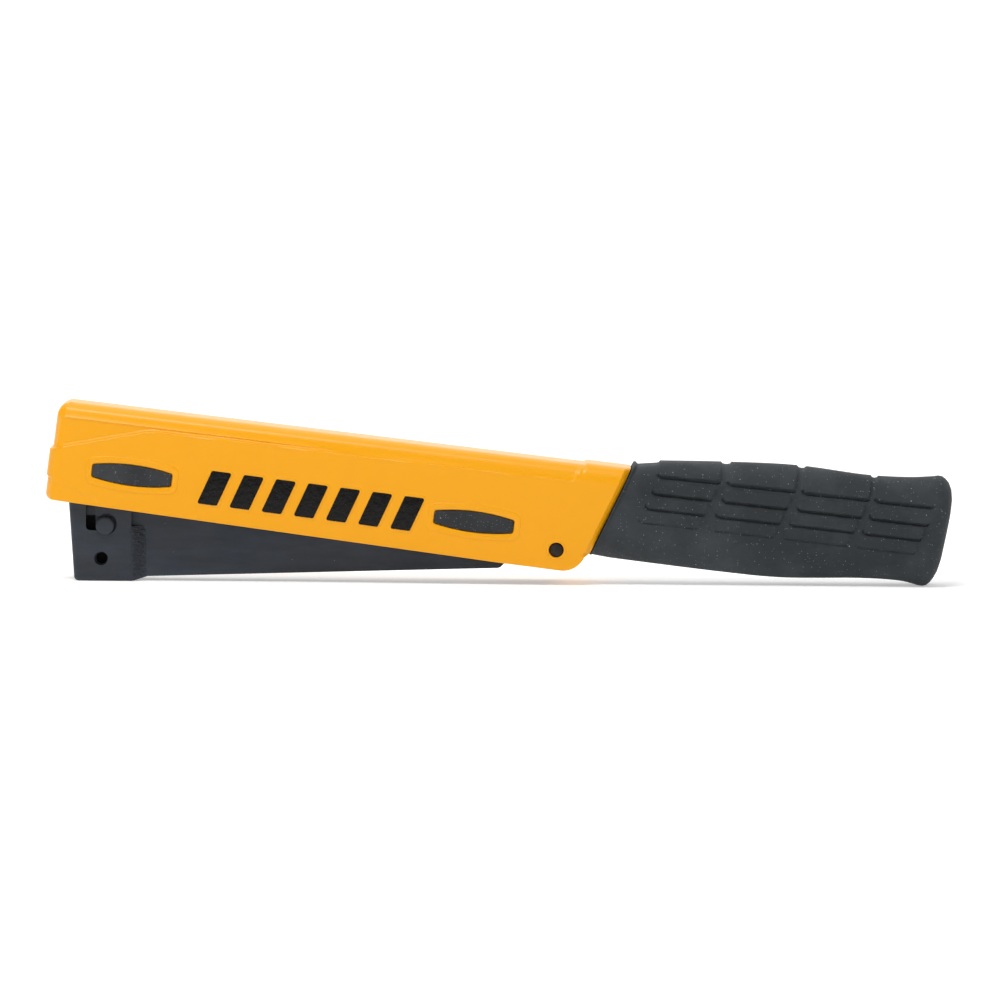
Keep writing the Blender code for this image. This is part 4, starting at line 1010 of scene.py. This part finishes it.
def build_handle():
    coat = powder_coat()
    black = gloss_black()
    dress(housing_mesh(), "handle", "coat", coat, "housing")
    rubber = moulded_rubber("grip_rubber", (0.029, 0.034, 0.038), 0.16)
    dress(grip_mesh(), "handle", "grip_rubber", rubber, "grip")
    inlay = moulded_rubber("inlay_rubber", (0.03, 0.032, 0.035), 0.3, 2300.0)
    for side_name, sign in (("near", -1.0), ("far", 1.0)):
        face = HALF + PANEL_PROUD
        plinths = bars_mesh(f"bar_plinths_{side_name}", PLINTH_LAYERS, sign, face)
        dress(plinths, "handle", "coat", coat)
        enamel = bars_mesh(f"bar_enamel_{side_name}", ENAMEL_LAYERS, sign, face + PLINTH_LAYERS[-1][1] * MM)
        dress(enamel, "handle", "coat", black)
        boss = ring_mesh(f"pivot_boss_{side_name}", BOSS_SECTION, circle_outline, sign)
        dress(boss, "handle", "coat", coat)
        for pad_name, x, z in PAD_SPOTS:
            pad = pad_mesh(f"pad_inlay_{pad_name}_{side_name}", x, z, sign)
            dress(pad, "handle", "pad_rubber", inlay, f"side_pad_{pad_name}_{side_name}")
            bezel = ring_mesh(
                f"pad_bezel_{pad_name}_{side_name}", BEZEL_SECTION,
                lambda margin, x=x, z=z: pad_outline(x, z, margin), sign)
            dress(bezel, "handle", "coat", coat)


def build_magazine():
    sheet = blued_steel("blued_steel_sheet")
    weld = blued_steel("weld_metal", rough_weld=True)
    dress(nose_wrap_mesh(), "magazine", "blued_steel", sheet, "nose_wrap")
    dress(channel_mesh(), "magazine", "blued_steel", sheet, "magazine_channel")
    dress(nose_pin_mesh(), "magazine", "blued_steel", sheet, "nose_cross_pin")
    for side_name, sign in (("near", -1.0), ("far", 1.0)):
        dress(weld_mesh(side_name, sign), "magazine", "weld_metal", weld, f"weld_bead_{side_name}")
    paint_nodes(sheet, "rear_rivet", "tail_rivet", "pivot_bracket", "spring_seat", "rear_block")


RETURN_SPRING_X = -110.0 * MM
ROD_Z = 8.0 * MM


def build_works():
    """Springs, pins and the inner steel that show inside the mouth and through the openings."""
    wire = bright_steel("spring_wire", (0.42, 0.42, 0.43), 0.32)
    pins = dark_pin_steel()
    dress(pivot_pin_mesh(), "handle", "dark_pin", pins, "pivot_pin")
    top = roof_z(RETURN_SPRING_X) - ROOF_WALL - 0.3 * MM
    seat = 0.4 * MM
    return_spring = spring_mesh(
        "return_spring_wire", (RETURN_SPRING_X, 0.0, seat), (0.0, 0.0, 1.0),
        5.2 * MM, 0.85 * MM, top - seat, 7.5, HANDLE)
    dress(return_spring, "handle", "spring_steel", wire, "return_spring")
    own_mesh(return_spring)
    start, end = -117.7 * MM, -48.3 * MM
    pusher_spring = spring_mesh(
        "pusher_spring_wire", (start, 0.0, ROD_Z), (1.0, 0.0, 0.0),
        2.6 * MM, 0.4 * MM, end - start, 16.0, MAGAZINE)
    dress(pusher_spring, "magazine", "spring_steel", wire, "pusher_spring")
    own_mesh(pusher_spring)
    bright = bright_steel("bright_steel")
    paint_nodes(bright, "driver_blade", "staple_rail", "guide_rod", "pusher")
    # Painted shade: the steel staple strip and front block are painted matt black so that the nose's holes
    # look dark.
    paint_nodes(painted_shade_black(), "staple_strip", "front_block")
    bronze = bright_steel("sintered_bronze", (0.45, 0.27, 0.11), 0.42)
    paint_nodes(bronze, "pivot_bush_near", "pivot_bush_far")
    paint_nodes(pins, "driver_screw", "stop_pin", "pivot_clip_near", "pivot_clip_far")
    paint_nodes(moulded_rubber("buffer_rubber", (0.018, 0.018, 0.019), 0.0), "roof_bumper")


def add_light(name, place, aim, width, power, depth):
    data = bpy.data.lights.new(name, "AREA")
    data.energy = power
    data.shape = "RECTANGLE"
    data.size = width
    data.size_y = depth
    item = bpy.data.objects.new(name, data)
    item.location = place
    item.rotation_euler = (Vector(aim) - Vector(place)).to_track_quat("-Z", "Y").to_euler()
    bpy.context.scene.collection.objects.link(item)


def build_studio():
    """A white sweep: a floor that curves up behind the tool, under two soft lights and a white sky."""
    half_width, front_y, bend_y, bend_radius, height = 7.0, -7.0, 2.5, 1.5, 6.0
    bend_steps = 16
    profile = [(front_y, 0.0), (bend_y, 0.0)]
    for step in range(1, bend_steps + 1):
        turn = math.pi / 2.0 * step / bend_steps
        profile.append((bend_y + bend_radius * math.sin(turn), bend_radius * (1.0 - math.cos(turn))))
    profile.append((bend_y + bend_radius, height))
    points = [(side * half_width, y, z) for y, z in profile for side in (-1.0, 1.0)]
    faces = [(2 * step, 2 * step + 1, 2 * step + 3, 2 * step + 2) for step in range(len(profile) - 1)]
    sweep = bpy.data.meshes.new("studio_sweep")
    sweep.from_pydata(points, [], faces)
    sweep.shade_smooth()
    sweep.materials.append(studio_floor())
    item = bpy.data.objects.new("studio_sweep", sweep)
    bpy.context.scene.collection.objects.link(item)
    world = bpy.data.worlds.new("studio_white")
    world.use_nodes = True
    background = world.node_tree.nodes["Background"]
    background.inputs["Color"].default_value = (1.0, 1.0, 1.0, 1.0)
    background.inputs["Strength"].default_value = 0.36
    bpy.context.scene.world = world
    add_light("overhead_softbox", (-0.1, 0.15, 0.9), (0.0, 0.0, 0.0), 1.1, 3.0, 0.6)
    add_light("front_softbox", (-0.25, -0.62, 1.25), (0.0, 0.0, 0.03), 0.7, 11.4, 0.3)
    bpy.context.scene.view_settings.view_transform = "Standard"


def build_camera():
    elevation, distance, roll = math.radians(4.0), 3.177, math.radians(0.45)
    aim = Vector((-0.0001, 0.0, 0.0313))
    data = bpy.data.cameras.new("photo_view")
    data.lens = 300.0
    data.sensor_width = 36.0
    camera = bpy.data.objects.new("photo_view", data)
    camera.location = aim + distance * Vector((0.0, -math.cos(elevation), math.sin(elevation)))
    facing = (aim - camera.location).to_track_quat("-Z", "Y").to_matrix().to_4x4()
    camera.rotation_euler = (facing @ Matrix.Rotation(roll, 4, "Z")).to_euler()
    bpy.context.scene.collection.objects.link(camera)
    bpy.context.scene.camera = camera


build_camera()
build_handle()
build_magazine()
build_works()
build_studio()
